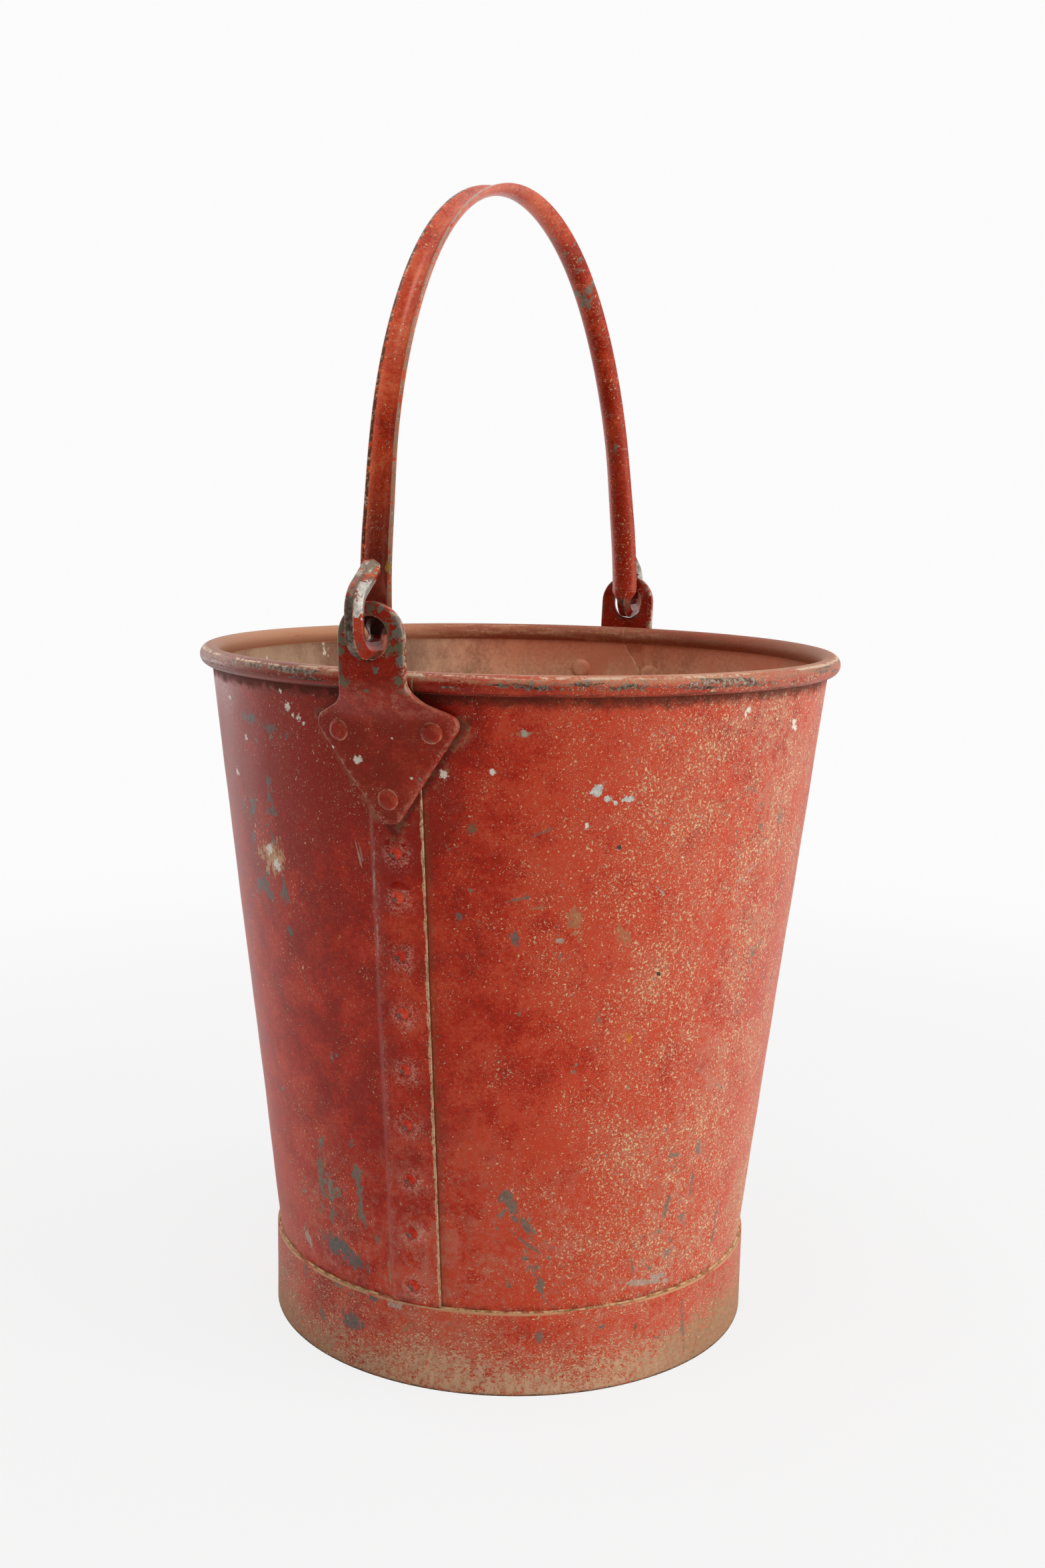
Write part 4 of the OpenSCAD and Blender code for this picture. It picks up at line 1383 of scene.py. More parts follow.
@dataclass(frozen=True)
class Lugs:
    """The two pointed plates with their necks, tongues and eyes."""

    workshop: Workshop
    paint: Material
    thick: float = 3.6
    half_w: float = 33.7
    corner_z: float = SIZES.height - 20
    point_h: float = 47.8
    tip_r: float = 6.0
    corner_r: float = 5.0
    neck_r: float = 12.0
    shoulder: float = radians(26)
    lean: float = radians(1.8)
    eye_r: float = 7.7
    eye_z: float = SIZES.height + 12.4
    eye_wear: float = 2.0
    tongue_w: float = 14.5
    tongue_r: float = SIZES.rim_d / 2 + 4.4
    crank_z: float = 303.7
    crank_top_z: float = 317.0

    def half_outline(self) -> list[Vector]:
        """The right half of a lug seen from the front, from its point round its eye and back."""
        side = math.atan(self.point_h / self.half_w)
        tip = Vector((0, self.corner_z - self.point_h))
        corner = Vector((self.half_w, self.corner_z))
        along = Vector((cos(side), sin(side)))
        cut = self.corner_r / math.tan((side + self.shoulder) / 2)
        corner_mid = corner - along * cut + Vector((-along.y, along.x)) * self.corner_r
        tip_mid = tip + Vector((0, self.tip_r / cos(side)))
        neck_x = self.tongue_w + self.neck_r
        foot_x = neck_x - self.neck_r * sin(self.shoulder)
        back = Vector((-cos(self.shoulder), sin(self.shoulder)))
        foot = corner + back * (self.half_w - foot_x) / cos(self.shoulder)
        neck = Vector((neck_x, foot.y + self.neck_r * cos(self.shoulder)))
        tongue_z = self.eye_z + self.eye_wear / 2
        shoulder = math.degrees(self.shoulder)
        outer = side_angle = math.degrees(side) - 90
        arcs = [(tip_mid, self.tip_r, -90, outer, 8),
            (corner_mid, self.corner_r, side_angle, 90 - shoulder, 12),
            (neck, self.neck_r, 270 - shoulder, 180, 12),
            (Vector((0, tongue_z)), self.tongue_w, 0, 90, 18),
            (Vector((0, self.eye_z + self.eye_wear)), self.eye_r, 90, 0, 12),
            (Vector((0, self.eye_z)), self.eye_r, 0, -90, 12)]
        points = []
        for mid, radius, start, end, count in arcs:
            for i in range(count + 1):
                angle = radians(lerp(start, end, i / count))
                points.append(mid + radius * Vector((cos(angle), sin(angle))))
        return points

    def plate(self) -> Mesh:
        """The flat lug, standing in the XZ plane, its thickness along Y, with worn edges."""
        bm = bmesh.new()
        face = bm.faces.new([bm.verts.new((max(0, p.x), 0, p.y)) for p in self.half_outline()])
        bmesh.ops.mirror(bm, geom=[face, *face.verts, *face.edges], axis="X", merge_dist=0.001)
        bmesh.ops.recalc_face_normals(bm, faces=bm.faces)
        grown = bmesh.ops.extrude_face_region(bm, geom=bm.faces[:])
        verts = [item for item in grown["geom"] if isinstance(item, bmesh.types.BMVert)]
        bmesh.ops.translate(bm, verts=verts, vec=(0, self.thick, 0))
        bmesh.ops.recalc_face_normals(bm, faces=bm.faces)
        rims = [e for e in bm.edges if len(e.link_faces) == 2
            and abs(e.link_faces[0].normal.dot(e.link_faces[1].normal)) < 0.5
            and abs(e.verts[0].co.y - e.verts[1].co.y) < 0.1]
        worn = bm.faces.layers.int.new("worn")
        rounded = bmesh.ops.bevel(bm, geom=rims, offset=0.85, offset_type="OFFSET", segments=3,
            profile=0.5, affect="EDGES", clamp_overlap=True, material=-1)
        for face in rounded["faces"]:
            face[worn] = 1
        for z in range(252, 352, 2):
            bmesh.ops.bisect_plane(bm, geom=[*bm.verts, *bm.edges, *bm.faces], dist=0.0005,
                plane_co=(0, 0, z + 0.37), plane_no=(0, 0, 1))
        for x in range(-33, 34, 3):
            bmesh.ops.bisect_plane(bm, geom=[*bm.verts, *bm.edges, *bm.faces], dist=0.0005,
                plane_co=(x + 0.31, 0, 0), plane_no=(1, 0, 0))
        edge = bm.verts.layers.float.new("edge")
        for vert in bm.verts:
            if any(face[worn] for face in vert.link_faces) or 0.3 < vert.co.y < self.thick - 0.3:
                vert[edge] = 1
        return bm

    def radius(self, z: float, depth: float) -> float:
        """Distance of a lug's point from the bucket's axis.

        Args:
            z: height.
            depth: how deep the point lies in the metal, from 0 inside to the thickness.

        Returns:
            The distance.
        """
        def middle(h: float) -> float:
            """The middle of the metal before its bends are softened."""
            plate = SIZES.wall_r(min(h, self.crank_z)) + SIZES.rise + SIZES.fit
            share = min(1, max(0, (h - self.crank_z) / (self.crank_top_z - self.crank_z)))
            return lerp(plate, self.tongue_r, share) + self.thick / 2
        soft = sum(middle(z + 0.6 * k) for k in range(-4, 5)) / 9
        lean = math.atan((middle(z + 2.4) - middle(z - 2.4)) / 4.8)
        return soft + (depth - self.thick / 2) / cos(lean)

    def bend(self, bm: Mesh) -> None:
        """Leans the flat lug and lays it on the wall, out over the rim and upright again."""
        pivot = self.eye_z + self.eye_wear / 2
        for vert in bm.verts:
            x, depth, up = vert.co.x, self.thick - vert.co.y, vert.co.z - pivot
            across = x * cos(self.lean) - up * sin(self.lean)
            z = pivot + x * sin(self.lean) + up * cos(self.lean)
            smile = 2 * max(0, 1 - (across / 19) ** 2) * smooth(285, 300, z) * smooth(325, 312, z)
            radius = self.radius(z + smile, depth)
            vert.co = (across, -math.sqrt(radius * radius - across * across), z)

    def build(self) -> None:
        """Both lugs."""
        for end in End:
            bm = self.plate()
            self.bend(bm)
            bmesh.ops.rotate(bm, cent=(0, 0, 0), matrix=Matrix.Rotation(end.turn, 3, "Z"), verts=bm.verts)
            bmesh.ops.recalc_face_normals(bm, faces=bm.faces)
            self.workshop.piece(f"{end.label}_lug_skin", bm, Body.BUCKET, [self.paint], "lug_paint",
                (f"{end.label}_lug",), 50)


@dataclass(frozen=True)
class RivetShape:
    """Sizes of one kind of rivet, in millimetres."""

    head_d: float
    head_h: float
    tail_d: float
    tail_h: float
    grip: float
    flat: float
    tail_flat: float
    crown: float


@dataclass(frozen=True)
class Rivets:
    """Heads and tails of all rivets, each with its own hammer marks."""

    workshop: Workshop
    sheet_paint: Material
    seam_paint: Material
    lug_paint: Material
    dimple: tuple = ((2.3, -0.4), (2.55, 0.1), (3, 0.24), (3.6, 0.4), (4.2, 0.4), (4.9, 0.26),
        (5.7, 0.07), (6.5, -0.16), (7.2, -0.45), (6.4, -0.6))
    dent: tuple[float, ...] = (-0.7, -0.6, 1.2, 0.5)
    seam: RivetShape = RivetShape(head_d=6.3, head_h=1.9, tail_d=6.4, tail_h=1, grip=2.45, flat=0,
        tail_flat=0.7, crown=0.84)
    lug: RivetShape = RivetShape(head_d=9.2, head_h=1.1, tail_d=10.4, tail_h=1.5, grip=6.1, flat=0.72,
        tail_flat=0.85, crown=0.98)
    lug_x: float = 20.2
    lug_z: float = SIZES.height - 24.2
    lug_fall: float = 28.0

    def rivet(self, shape: RivetShape, seed: int) -> Mesh:
        """A rivet with its head on z = 0 and its tail below the grip.

        Args:
            shape: the rivet's sizes.
            seed: a number that sets its marks.

        Returns:
            The mesh, with the share of the head's radius stored as "rim".
        """
        def dome(d: float, h: float, flat: float) -> list[tuple[float, float]]:
            """Half section of a dome with a flattened top, from the middle outwards.

            Args:
                d, h: diameter and height.
                flat: 0 for round, 1 for flattened.

            Returns:
                Its points, as (radius, height).
            """
            points = []
            for i in range(9):
                t = i / 8
                lift = cos(t * pi / 2) ** 0.8
                points.append((t ** 0.8 * d / 2, h * lerp(lift, min(1, lift * 1.5), flat)))
            return points
        head = dome(shape.head_d * shape.crown, shape.head_h, shape.flat)[:-1]
        head += [(shape.head_d * shape.crown / 2, 0.22), (shape.head_d / 2 - 0.12, 0.12)]
        head += [(shape.head_d / 2, 0), (shape.head_d / 2 - 0.1, -0.15), (0, -0.15)]
        tail = [(r, -shape.grip - z) for r, z in dome(shape.tail_d, shape.tail_h, shape.tail_flat)]
        tail += [(shape.tail_d / 2 - 0.1, -shape.grip + 0.1), (0, -shape.grip + 0.1)]
        bm = bmesh.new()
        for points in (head, tail):
            spin(bm, points, 28)
        bmesh.ops.remove_doubles(bm, verts=bm.verts, dist=0.004)
        bmesh.ops.recalc_face_normals(bm, faces=bm.faces)
        rim = bm.verts.layers.float.new("rim")
        under = bm.verts.layers.float.new("under")
        for vert in bm.verts:
            vert[rim] = min(1, math.hypot(vert.co.x, vert.co.y) / (shape.head_d / 2))
            # under grows towards the head's lower left, and the dent adds to it below; the rivets'
            # material paints shade and grey wear there.
            vert[under] = (-vert.co.x * 0.6 - vert.co.y * 0.8) / (shape.head_d / 2)
            at = Vector((vert.co.x / 2.2 + seed * 3.1, vert.co.y / 2.2, seed * 1.7))
            if vert.co.z > 0.2:
                if shape is self.seam:
                    x, y, reach, depth = self.dent
                    away = math.hypot(vert.co.x - x, vert.co.y - y) / reach
                    dent = math.exp(-away * away)
                    vert.co.z -= depth * dent * (0.75 + 0.5 * noise.noise(Vector((seed * 1.3, 0, 0))))
                    vert[under] = max(vert[under], 1.3 * dent)
                vert.co.z *= 1 + 0.16 * noise.noise(at)
                vert.co.x += 0.12 * noise.noise(at + Vector((9, 0, 0)))
                vert.co.y += 0.12 * noise.noise(at + Vector((0, 9, 0)))
        return bm

    @staticmethod
    def place(bm: Mesh, matrix: Matrix) -> None:
        """Sets a rivet on the wall."""
        bmesh.ops.transform(bm, matrix=matrix, verts=bm.verts)
        bmesh.ops.recalc_face_normals(bm, faces=bm.faces)

    def dimples(self, end: End, turn: float, heights: list[float]) -> None:
        """The dished metal that each seam rivet has drawn up round its head, in one piece.

        Args:
            end: which seam.
            turn: the seam line's angle.
            heights: the rivets' heights.
        """
        bm = bmesh.new()
        for k, z in enumerate(heights):
            known = set(bm.verts)
            spin(bm, list(self.dimple), 36, closed=True)
            fresh = [vert for vert in bm.verts if vert not in known]
            for vert in fresh:
                away = math.hypot(vert.co.x, vert.co.y)
                at = Vector((vert.co.x / away * 0.9 + k * 2.3, vert.co.y / away * 0.9, end.value[0]))
                if vert.co.z > 0.05:
                    vert.co.z *= 1 + 0.9 * noise.noise(at)
                vert.co.x *= 1 + 0.1 * noise.noise(at * 1.3)
                vert.co.y *= 1 + 0.1 * noise.noise(at * 1.3)
            bmesh.ops.transform(bm, matrix=SIZES.on_wall(turn, z, SIZES.rise), verts=fresh)
        bmesh.ops.recalc_face_normals(bm, faces=bm.faces)
        self.workshop.piece(f"{end.label}_seam_dimples", bm, Body.BUCKET, [self.sheet_paint],
            "body_paint")

    def build(self) -> None:
        """All rivets of both seams and both lugs."""
        s = SIZES
        for end in End:
            line = radians(s.seam_turn)
            turn = line if end is End.FRONT else pi - line
            heights = ([s.rivet_low_z + i * s.rivet_pitch for i in range(s.rivet_count - 1)]
                + [s.rivet_top_z])
            self.dimples(end, turn, heights)
            for i, z in enumerate(heights):
                bm = self.rivet(self.seam, i + 11 * (end is End.REAR))
                self.place(bm, s.on_wall(turn, z, s.rise + s.fit))
                node = f"{end.label}_seam_rivet_{i + 1}"
                self.workshop.piece(node + "_head", bm, Body.BUCKET, [self.seam_paint], "seam_rivets",
                    (node,))
            spots = {"left": (-self.lug_x, self.lug_z), "right": (self.lug_x, self.lug_z),
                "lower": (0, self.lug_z - self.lug_fall)}
            pivot = Lugs.eye_z + Lugs.eye_wear / 2
            for k, (label, (x, z)) in enumerate(spots.items()):
                up = z - pivot
                across = x * cos(Lugs.lean) - up * sin(Lugs.lean)
                high = pivot + x * sin(Lugs.lean) + up * cos(Lugs.lean)
                seat = s.rise + s.fit
                turn = end.turn + math.asin(across / (s.wall_r(high) + seat))
                bm = self.rivet(self.lug, 40 + k + 5 * (end is End.REAR))
                self.place(bm, s.on_wall(turn, high, seat + Lugs.thick + 0.02))
                node = f"{end.label}_lug_rivet_{label}"
                self.workshop.piece(node + "_head", bm, Body.BUCKET, [self.lug_paint], "lug_rivets",
                    (node,))


@dataclass(frozen=True)
class Bail:
    """The handle: a pressed trough whose legs close up into a forged hook at each end."""

    workshop: Workshop
    paint: Material
    width: float = 12.8
    depth: float = 5.2
    wall: float = 1.8
    crown_a: float = radians(48.4)
    rise: float = 200.3
    leg_a: float = radians(90 - 10.85)
    straight: float = 26.0
    foot_r: float = 170.0
    foot_lip_y: float = Lugs.tongue_r - 3.5
    rod_r: float = 3.9
    in_r: float = 5.0
    out_r: float = 8.0
    bar_in_y: float = Lugs.tongue_r - 0.3
    bar_out_y: float = Lugs.tongue_r + Lugs.thick + 3.4
    arm: float = 7.0
    top_r: float = 11.0
    top_a: float = radians(55)
    tip: float = 13.0
    close_h: float = 9.5
    lean: float = radians(2.07)
    ridge: float = -70

    def arch(self) -> tuple[float, float, float, float, float]:
        """Solves the arch's two radii.

        Returns:
            Crown radius, side radius, the height of the crown's centre, and the side's centre
            as (y, z).
        """
        c, a = self.crown_a, self.leg_a
        foot_z = SIZES.hinge_z + self.in_r + self.close_h
        span = self.foot_lip_y - self.straight * cos(a) - self.foot_r * (1 - sin(a))
        rise = SIZES.hinge_z + self.rise - foot_z - self.straight * sin(a) - self.foot_r * cos(a)
        det = sin(c) * (cos(c) - cos(a)) - (sin(a) - sin(c)) * (1 - cos(c))
        crown = (span * (cos(c) - cos(a)) - rise * (sin(a) - sin(c))) / det
        side = (rise * sin(c) - span * (1 - cos(c))) / det
        crown_z = SIZES.hinge_z + self.rise - crown
        return (crown, side, crown_z, (crown - side) * sin(c), crown_z + (crown - side) * cos(c))

    def stations(self) -> list[tuple[float, float, float, float]]:
        """Stations of one half, from the crown down to the hook's tip.

        Returns:
            For each, the reference point as (y, z), the direction of travel as an angle from
            +Y, and how far the section has become a rod, where over 1 marks the tip.
        """
        crown, side, crown_z, side_y, side_z = self.arch()
        hinge = SIZES.hinge_z
        out: list[tuple[float, float, float, float]] = []

        def arc(y: float, z: float, r: float, start: float, end: float, count: int) -> None:
            """Adds trough stations round (y, z) between two angles out of the vertical."""
            for i in range(1, count + 1):
                t = lerp(start, end, i / count)
                out.append((y + r * sin(t), z + r * cos(t), -t, 0))

        def bend(y: float, z: float, r: float, start: float, end: float, count: int) -> None:
            """Adds rod stations round (y, z) between two angles from +Y."""
            for i in range(1, count + 1):
                t = lerp(start, end, i / count)
                out.append((y + r * cos(t), z + r * sin(t), t - 1.5 * pi, 1))

        def run(length: float, angle: float, count: int, form: float) -> None:
            """Adds stations straight on from the last one."""
            y, z = out[-1][:2]
            for i in range(1, count + 1):
                d = length * i / count
                out.append((y + d * cos(angle), z + d * sin(angle), angle, form))

        out.append((0, crown_z + crown, 0, 0))
        arc(0, crown_z, crown, 0, self.crown_a, 26)
        arc(side_y, side_z, side, self.crown_a, self.leg_a, 22)
        run(self.straight, -self.leg_a, 7, 0)
        foot_z = hinge + self.in_r + self.close_h
        arc(self.foot_lip_y - self.foot_r, foot_z, self.foot_r, self.leg_a, pi / 2, 12)
        rod_y = self.bar_in_y - self.in_r
        for i in range(1, 10):
            t = i / 9
            out.append((lerp(self.foot_lip_y, rod_y, t), lerp(foot_z, hinge + self.in_r, t), -pi / 2, t))
        bend(self.bar_in_y, hinge + self.in_r, self.in_r, pi, 1.5 * pi, 8)
        run(self.bar_out_y - self.bar_in_y, 0, 5, 1)
        bend(self.bar_out_y, hinge + self.out_r, self.out_r, 1.5 * pi, 2 * pi, 10)
        run(self.arm, pi / 2, 4, 1)
        top_y = self.bar_out_y + self.out_r - self.top_r
        bend(top_y, hinge + self.out_r + self.arm, self.top_r, 2 * pi, 2 * pi + self.top_a, 8)
        angle = pi / 2 + self.top_a
        run(self.tip, angle, 7, 1)
        y, z = out[-1][0], out[-1][1]
        for i in range(1, 7):
            t = pi / 2 * i / 6
            d = (self.rod_r - 0.1) * sin(t)
            out.append((y + d * cos(angle), z + d * sin(angle), angle, 1 + t))
        return out

    def section(self, form: float, close: float, wide: float) -> list[tuple[float, float]]:
        """Points of the section, as (across, outwards).

        Args:
            form: 0 for the trough, 1 for the rod, more towards the tip's end.
            close: how far the trough's channel is filled, 0 to 1.
            wide: the trough's width as a share of its usual width.

        Returns:
            The points in order, the same number for each form.
        """
        r_out = ((self.width / 2) ** 2 + self.depth ** 2) / (2 * self.depth)
        mid = r_out - self.depth
        r_in = r_out - self.wall
        points: list[tuple[float, float]] = []
        rod: list[float] = []
        drop = 0.75
        start, inner = math.asin((mid + drop) / r_out), math.asin((mid + drop) / r_in)
        for i in range(25):
            a = lerp(-start, -pi + start, i / 24)
            points.append((r_out * cos(a), mid + r_out * sin(a)))
            rod.append(lerp(-8, -172, i / 24))
        left = [(-1, -0.3), (-0.945, -0.06), (-0.855, 0), (-0.765, -0.06), (-0.72, -0.28)]
        points += [(x * self.width / 2, n) for x, n in left]
        rod += [180, 175, 170, 165, 160]
        for i in range(13):
            a = lerp(-pi + inner, -inner, i / 12)
            x, n = r_in * cos(a), mid + r_in * sin(a)
            points.append((x, lerp(n, -0.5, close)))
            rod.append(lerp(152, 28, i / 12))
        points += [(-x * self.width / 2, n) for x, n in reversed(left)]
        rod += [20, 15, 10, 5, 0]
        shrink = cos(form - 1) if form > 1 else 1
        mix = smooth(0, 1, form)
        late = smooth(0.4, 1, form)
        made = []
        for (x, n), degrees in zip(points, rod):
            a = radians(degrees)
            six = (math.degrees(a) - self.ridge) % 60 - 30
            r = min(self.rod_r * 0.93 / cos(radians(six)), self.rod_r * 1.06) * shrink
            made.append((lerp(x * wide, r * cos(a), late), lerp(n, r * sin(a), mix)))
        return made

    def build(self) -> None:
        """The whole bail, lofted from hook to hook."""
        half = self.stations()
        path = [(-y, z, -angle, form) for y, z, angle, form in reversed(half[1:])]
        path += half
        bm = bmesh.new()
        index = bm.verts.layers.int.new("index")
        facet = bm.verts.layers.float.new("facet")
        hook = bm.verts.layers.float.new("hook")
        lip = bm.verts.layers.float.new("lip")
        channel = bm.verts.layers.float.new("channel")
        facets = []
        for x, n in self.section(1, 1, 1):
            degrees = math.degrees(math.atan2(n, x))
            turn = (degrees - 360 if degrees > 90 else degrees) - self.ridge
            facets.append(max(-1, min(1, turn / 60)))
        edges: list = []
        for y, z, angle, form in path:
            close = smooth(360, 348, z) if form < 1 else 1
            wide = 1 + 0.09 * smooth(420, 368, z)
            points = self.section(form, close, wide)
            if not edges:
                verts = [bm.verts.new((x, 0, 0)) for x, _ in points]
                for i, vert in enumerate(verts):
                    vert[index] = i
                edges = [bm.edges.new((verts[i - 1], verts[i])) for i in range(len(verts))]
                bm.faces.new(verts)
            else:
                grown = bmesh.ops.extrude_edge_only(bm, edges=edges)
                edges = [g for g in grown["geom"] if isinstance(g, bmesh.types.BMEdge)]
                verts = [g for g in grown["geom"] if isinstance(g, bmesh.types.BMVert)]
            out = Vector((0, -sin(angle), cos(angle)))
            for vert in verts:
                x, n = points[vert[index]]
                vert.co = Vector((x, y, z)) + out * n
                at = vert[index]
                vert[facet] = facets[at]
                vert[hook] = form
                vert[lip] = 1 if 26 <= at <= 28 or 44 <= at <= 46 else 0
                vert[channel] = 1 if 30 <= at <= 42 else 0
        loop = {v[index]: v for e in edges for v in e.verts}
        bm.faces.new([loop[i] for i in sorted(loop)])
        bmesh.ops.recalc_face_normals(bm, faces=bm.faces)
        lean = Matrix.Rotation(-self.lean, 3, "Y")
        bmesh.ops.rotate(bm, cent=(0, 0, SIZES.hinge_z), matrix=lean, verts=bm.verts)
        self.workshop.piece("bail_skin", bm, Body.BAIL, [self.paint], "bail_paint", ("bail",), 50)


# Simple finishes


@dataclass(frozen=True)
class Finishes:
    """All other materials of the object."""

    effects: Effects
    hoop_flakes: tuple[Flakes, ...] = (Flakes(ASH,
        ((65.8, 24.7, 23, 2.2, -6, 0.75), (-25.8, 18.8, 8, 5, -55, 0.85), (28.9, 28.6, 6, 3.4, -20, 0.8),
        (-33.2, 34, 7, 2.4, -20, 0.8), (-20, 37, 7, 1.6, -88, 0.8))),
        Flakes(SLATE, ((-16.2, 22.6, 14, 6.5, -84), (-11.6, 37.6, 11, 2.8, -80))),
        Flakes(STONE, ((-3.4, 36.2, 10, 4.6, -78, 0.85),)),
        Flakes(KHAKI, ((-1.1, 26.4, 11, 1.3, 54, 0.6),)), Flakes(OLIVE, ((52, 27, 7, 1.8, 0, 0.7),)))
    lug_marks: tuple = ((6.8, 339.5, 2.5, OLIVE), (7.6, 335, 2.2, OLIVE), (8.6, 330.5, 2, OLIVE),
        (12.2, 342.5, 2.4, ASH), (12.9, 337.5, 2.5, ASH), (12.8, 331.5, 2.7, OLIVE),
        (13.6, 326.5, 1.9, ASH), (0.5, 346.6, 2, OLIVE), (5, 346.4, 1.3, ASH), (-12.6, 338.5, 2.1, OLIVE),
        (-13, 333.5, 2.4, OLIVE), (-12.4, 329, 1.7, OLIVE), (-11.6, 317, 2.5, OLIVE),
        (13, 318.5, 2, OLIVE), (14.2, 313.5, 2.1, OLIVE), (3, 322.5, 1.3, ASH), (-1.5, 314, 1.1, OLIVE))

    def hoop(self) -> Material:
        """The hoop's paint, sanded through everywhere and brown towards the floor."""
        paint = PaintFinish("hoop_paint", balance=0.62, specks=0.7, chips=0.22, dust=0.45, chip_scale=110,
            grain=(1, 1, 1.5))
        material, graph, position = new_material(paint.name)
        place = graph.group(self.effects.place, Position=position)
        height, side = place["Height"], place["Side"]
        layers = paint.layers(graph, self.effects, position, specks=height.rise(0.034, 0.006, 0.4),
            balance=side.rise(20, -30, -0.1))
        cloud = graph.mottle(graph.stretched(position, (1, 1, 1.6)), 26, 6, 0.68, 0.3)
        sand = graph.mottle(graph.stretched(position, (1, 1, 1.3)), 420, 6, 0.8)
        level = height + cloud * -0.024
        share = (level.rise(0.022, -0.016, 0.48) + (side - height * 500).rise(38, 66, 0.2)
            + (side + height * 500).rise(-18, -42, 0.16))
        cover = sand + share
        earth = graph.mix(side.rise(0, -30), rgb(236, 198, 160), rgb(196, 162, 128))
        earth = graph.mix(side.rise(40, 75), earth, rgb(186, 154, 116))
        low = cover.rise(0.8, 0.94, 0.9)
        layers.cover(low, graph.mix(graph.mottle(position, 420, 3, 0.66),
            graph.mix(0.5, earth, rgb(150, 96, 66)), earth))
        layers.flake(side, height, self.hoop_flakes)
        line = height.rise(0.0376, 0.0384) * cloud.rise(0.2, 0.5) * 0.8
        layers.cover(line, rgb(216, 176, 130))
        foot = (height + sand * -0.0016).rise(0.0006, -0.0006)
        layers.cover(foot * 0.9, rgb(66, 58, 40))
        layers.roughen(low, 0.85)
        paint.dress(layers)
        return material

    def lug(self) -> Material:
        """Thick glossy dark red on the plate, rubbed to grey on its edges and round the eye."""
        paint = PaintFinish("lug_paint", deep=rgb(142, 28, 12), middle=rgb(166, 38, 20),
            bright=rgb(186, 62, 42), balance=0.44, specks=0.16, chips=0.02, dust=0.05, scratches=0.1,
            rough=0.27, chip_scale=150, relief=0.00025)
        material, graph, position = new_material(paint.name)
        edge = graph.attribute("edge")
        x, y, z = graph.parts(position)
        eye = graph.math("SQRT", x * x + (z - 0.3352) ** 2)
        front = y.rise(0, -0.01)
        near_eye = eye.rise(0.0155, 0.008) * z.rise(0.318, 0.324)
        slant = z.rise(0.301, 0.306) * z.rise(0.319, 0.313)
        layers = paint.layers(graph, self.effects, position, dust=slant * 0.35,
            specks=z.rise(0.285, 0.26, 0.2) + near_eye * 0.3, chips=near_eye * (front * 0.3 + 0.12))
        broken = graph.mottle(position, 240, 5, 0.7)
        fine = graph.mottle(position, 520, 3, 0.66)
        high = z.rise(0.306, 0.322)
        bare = edge * broken.rise(0.42, 0.62) * high
        right = x.rise(0.004, 0.012)
        grey = graph.mix(right, rgb(92, 86, 68), rgb(196, 180, 154))
        grey = graph.mix(fine.rise(0.35, 0.85, 0.8), grey, rgb(112, 104, 90))
        layers.cover(bare * 0.9, grey)
        rubbed = edge * z.rise(0.315, 0.3) * broken.rise(0.2, 0.9) * fine.rise(0.1, 0.7) * 0.6
        layers.cover(rubbed, rgb(206, 142, 118))
        lift = SIZES.rise + SIZES.fit + Lugs.thick
        spots = ((-4.2, 285, 1.7), (-4.6, 284, 1.1), (-9, 289, 0.7), (-8, 276, 0.8), (2, 295, 0.7),
            (5, 279, 0.6), (-12.4, 283, 0.7))
        marks = [Blot((a * MM, -(Lugs.tongue_r + Lugs.thick) * MM, h * MM), r * MM, c)
            for a, h, r, c in self.lug_marks]
        marks += [Blot((-a * MM, (Lugs.tongue_r + Lugs.thick) * MM, h * MM), r * MM * 0.8, c, 0.8)
            for a, h, r, c in self.lug_marks[::2]]
        layers.splash(marks + [Blot(at_wall(a, h, lift), r * MM, WHITE) for a, h, r in spots])
        paint.dress(layers)
        return material

    def rivets(self, name: str, lug: bool) -> Material:
        """Paint of rivet heads: a painted highlight on the upper right and painted shade on the lower
        left, with a pale broken line round the foot.

        Args:
            name: the material's name.
            lug: whether the rivets are the lugs', which are darker.

        Returns:
            The material.
        """
        paint = (PaintFinish(name, deep=rgb(150, 30, 14), middle=rgb(172, 40, 22),
            bright=rgb(190, 62, 42), balance=0.46, specks=0.1, chips=0.05, dust=0.07, rough=0.28,
            chip_scale=150) if lug else PaintFinish(name, deep=rgb(176, 24, 10), middle=rgb(206, 42, 22),
            bright=rgb(228, 76, 50), balance=0.52, specks=0.15, chips=0.2, dust=0.06, rough=0.28,
            chip_scale=210))
        material, graph, position = new_material(name)
        place = graph.group(self.effects.place, Position=position)
        layers = paint.layers(graph, self.effects, position)
        broken = graph.mottle(position, 260, 3, 0.65)
        side = graph.attribute("under") + broken * 0.4
        # A pale broken line round the head's foot, chafed paint; on seam rivets it keeps to the upper
        # right and is also a painted highlight.
        line = (graph.attribute("rim").rise(0.8, 0.94) * broken.rise(0.2, 0.6)
            * (1 if lug else side.rise(0.5, 0.1)))
        layers.cover(line * 0.7, rgb(222, 150, 122))
        # A painted highlight on the upper right of the head.
        shine = side.rise(0.05, -0.4) * graph.attribute("rim").rise(0.2, 0.45)
        layers.cover(shine * (0.15 if lug else 0.5), rgb(244, 140, 108))
        # The lower left of the head and the dent: painted shade, with grey wear.
        under = side.rise(0.55, 0.85)
        layers.cover(under * (0.15 if lug else 0.85),
            graph.mix(graph.mottle(position, 700, 3, 0.6).rise(0.3, 0.9), rgb(62, 36, 28),
            rgb(128, 122, 112)))
        inner = inside_mask(graph, place["Height"], place["Radius"])
        dirt = graph.group(self.effects.dirt, Position=position)
        layers.cover(inner, dirt["Color"])
        layers.roughen(inner, 0.85)
        paint.dress(layers)
        return material

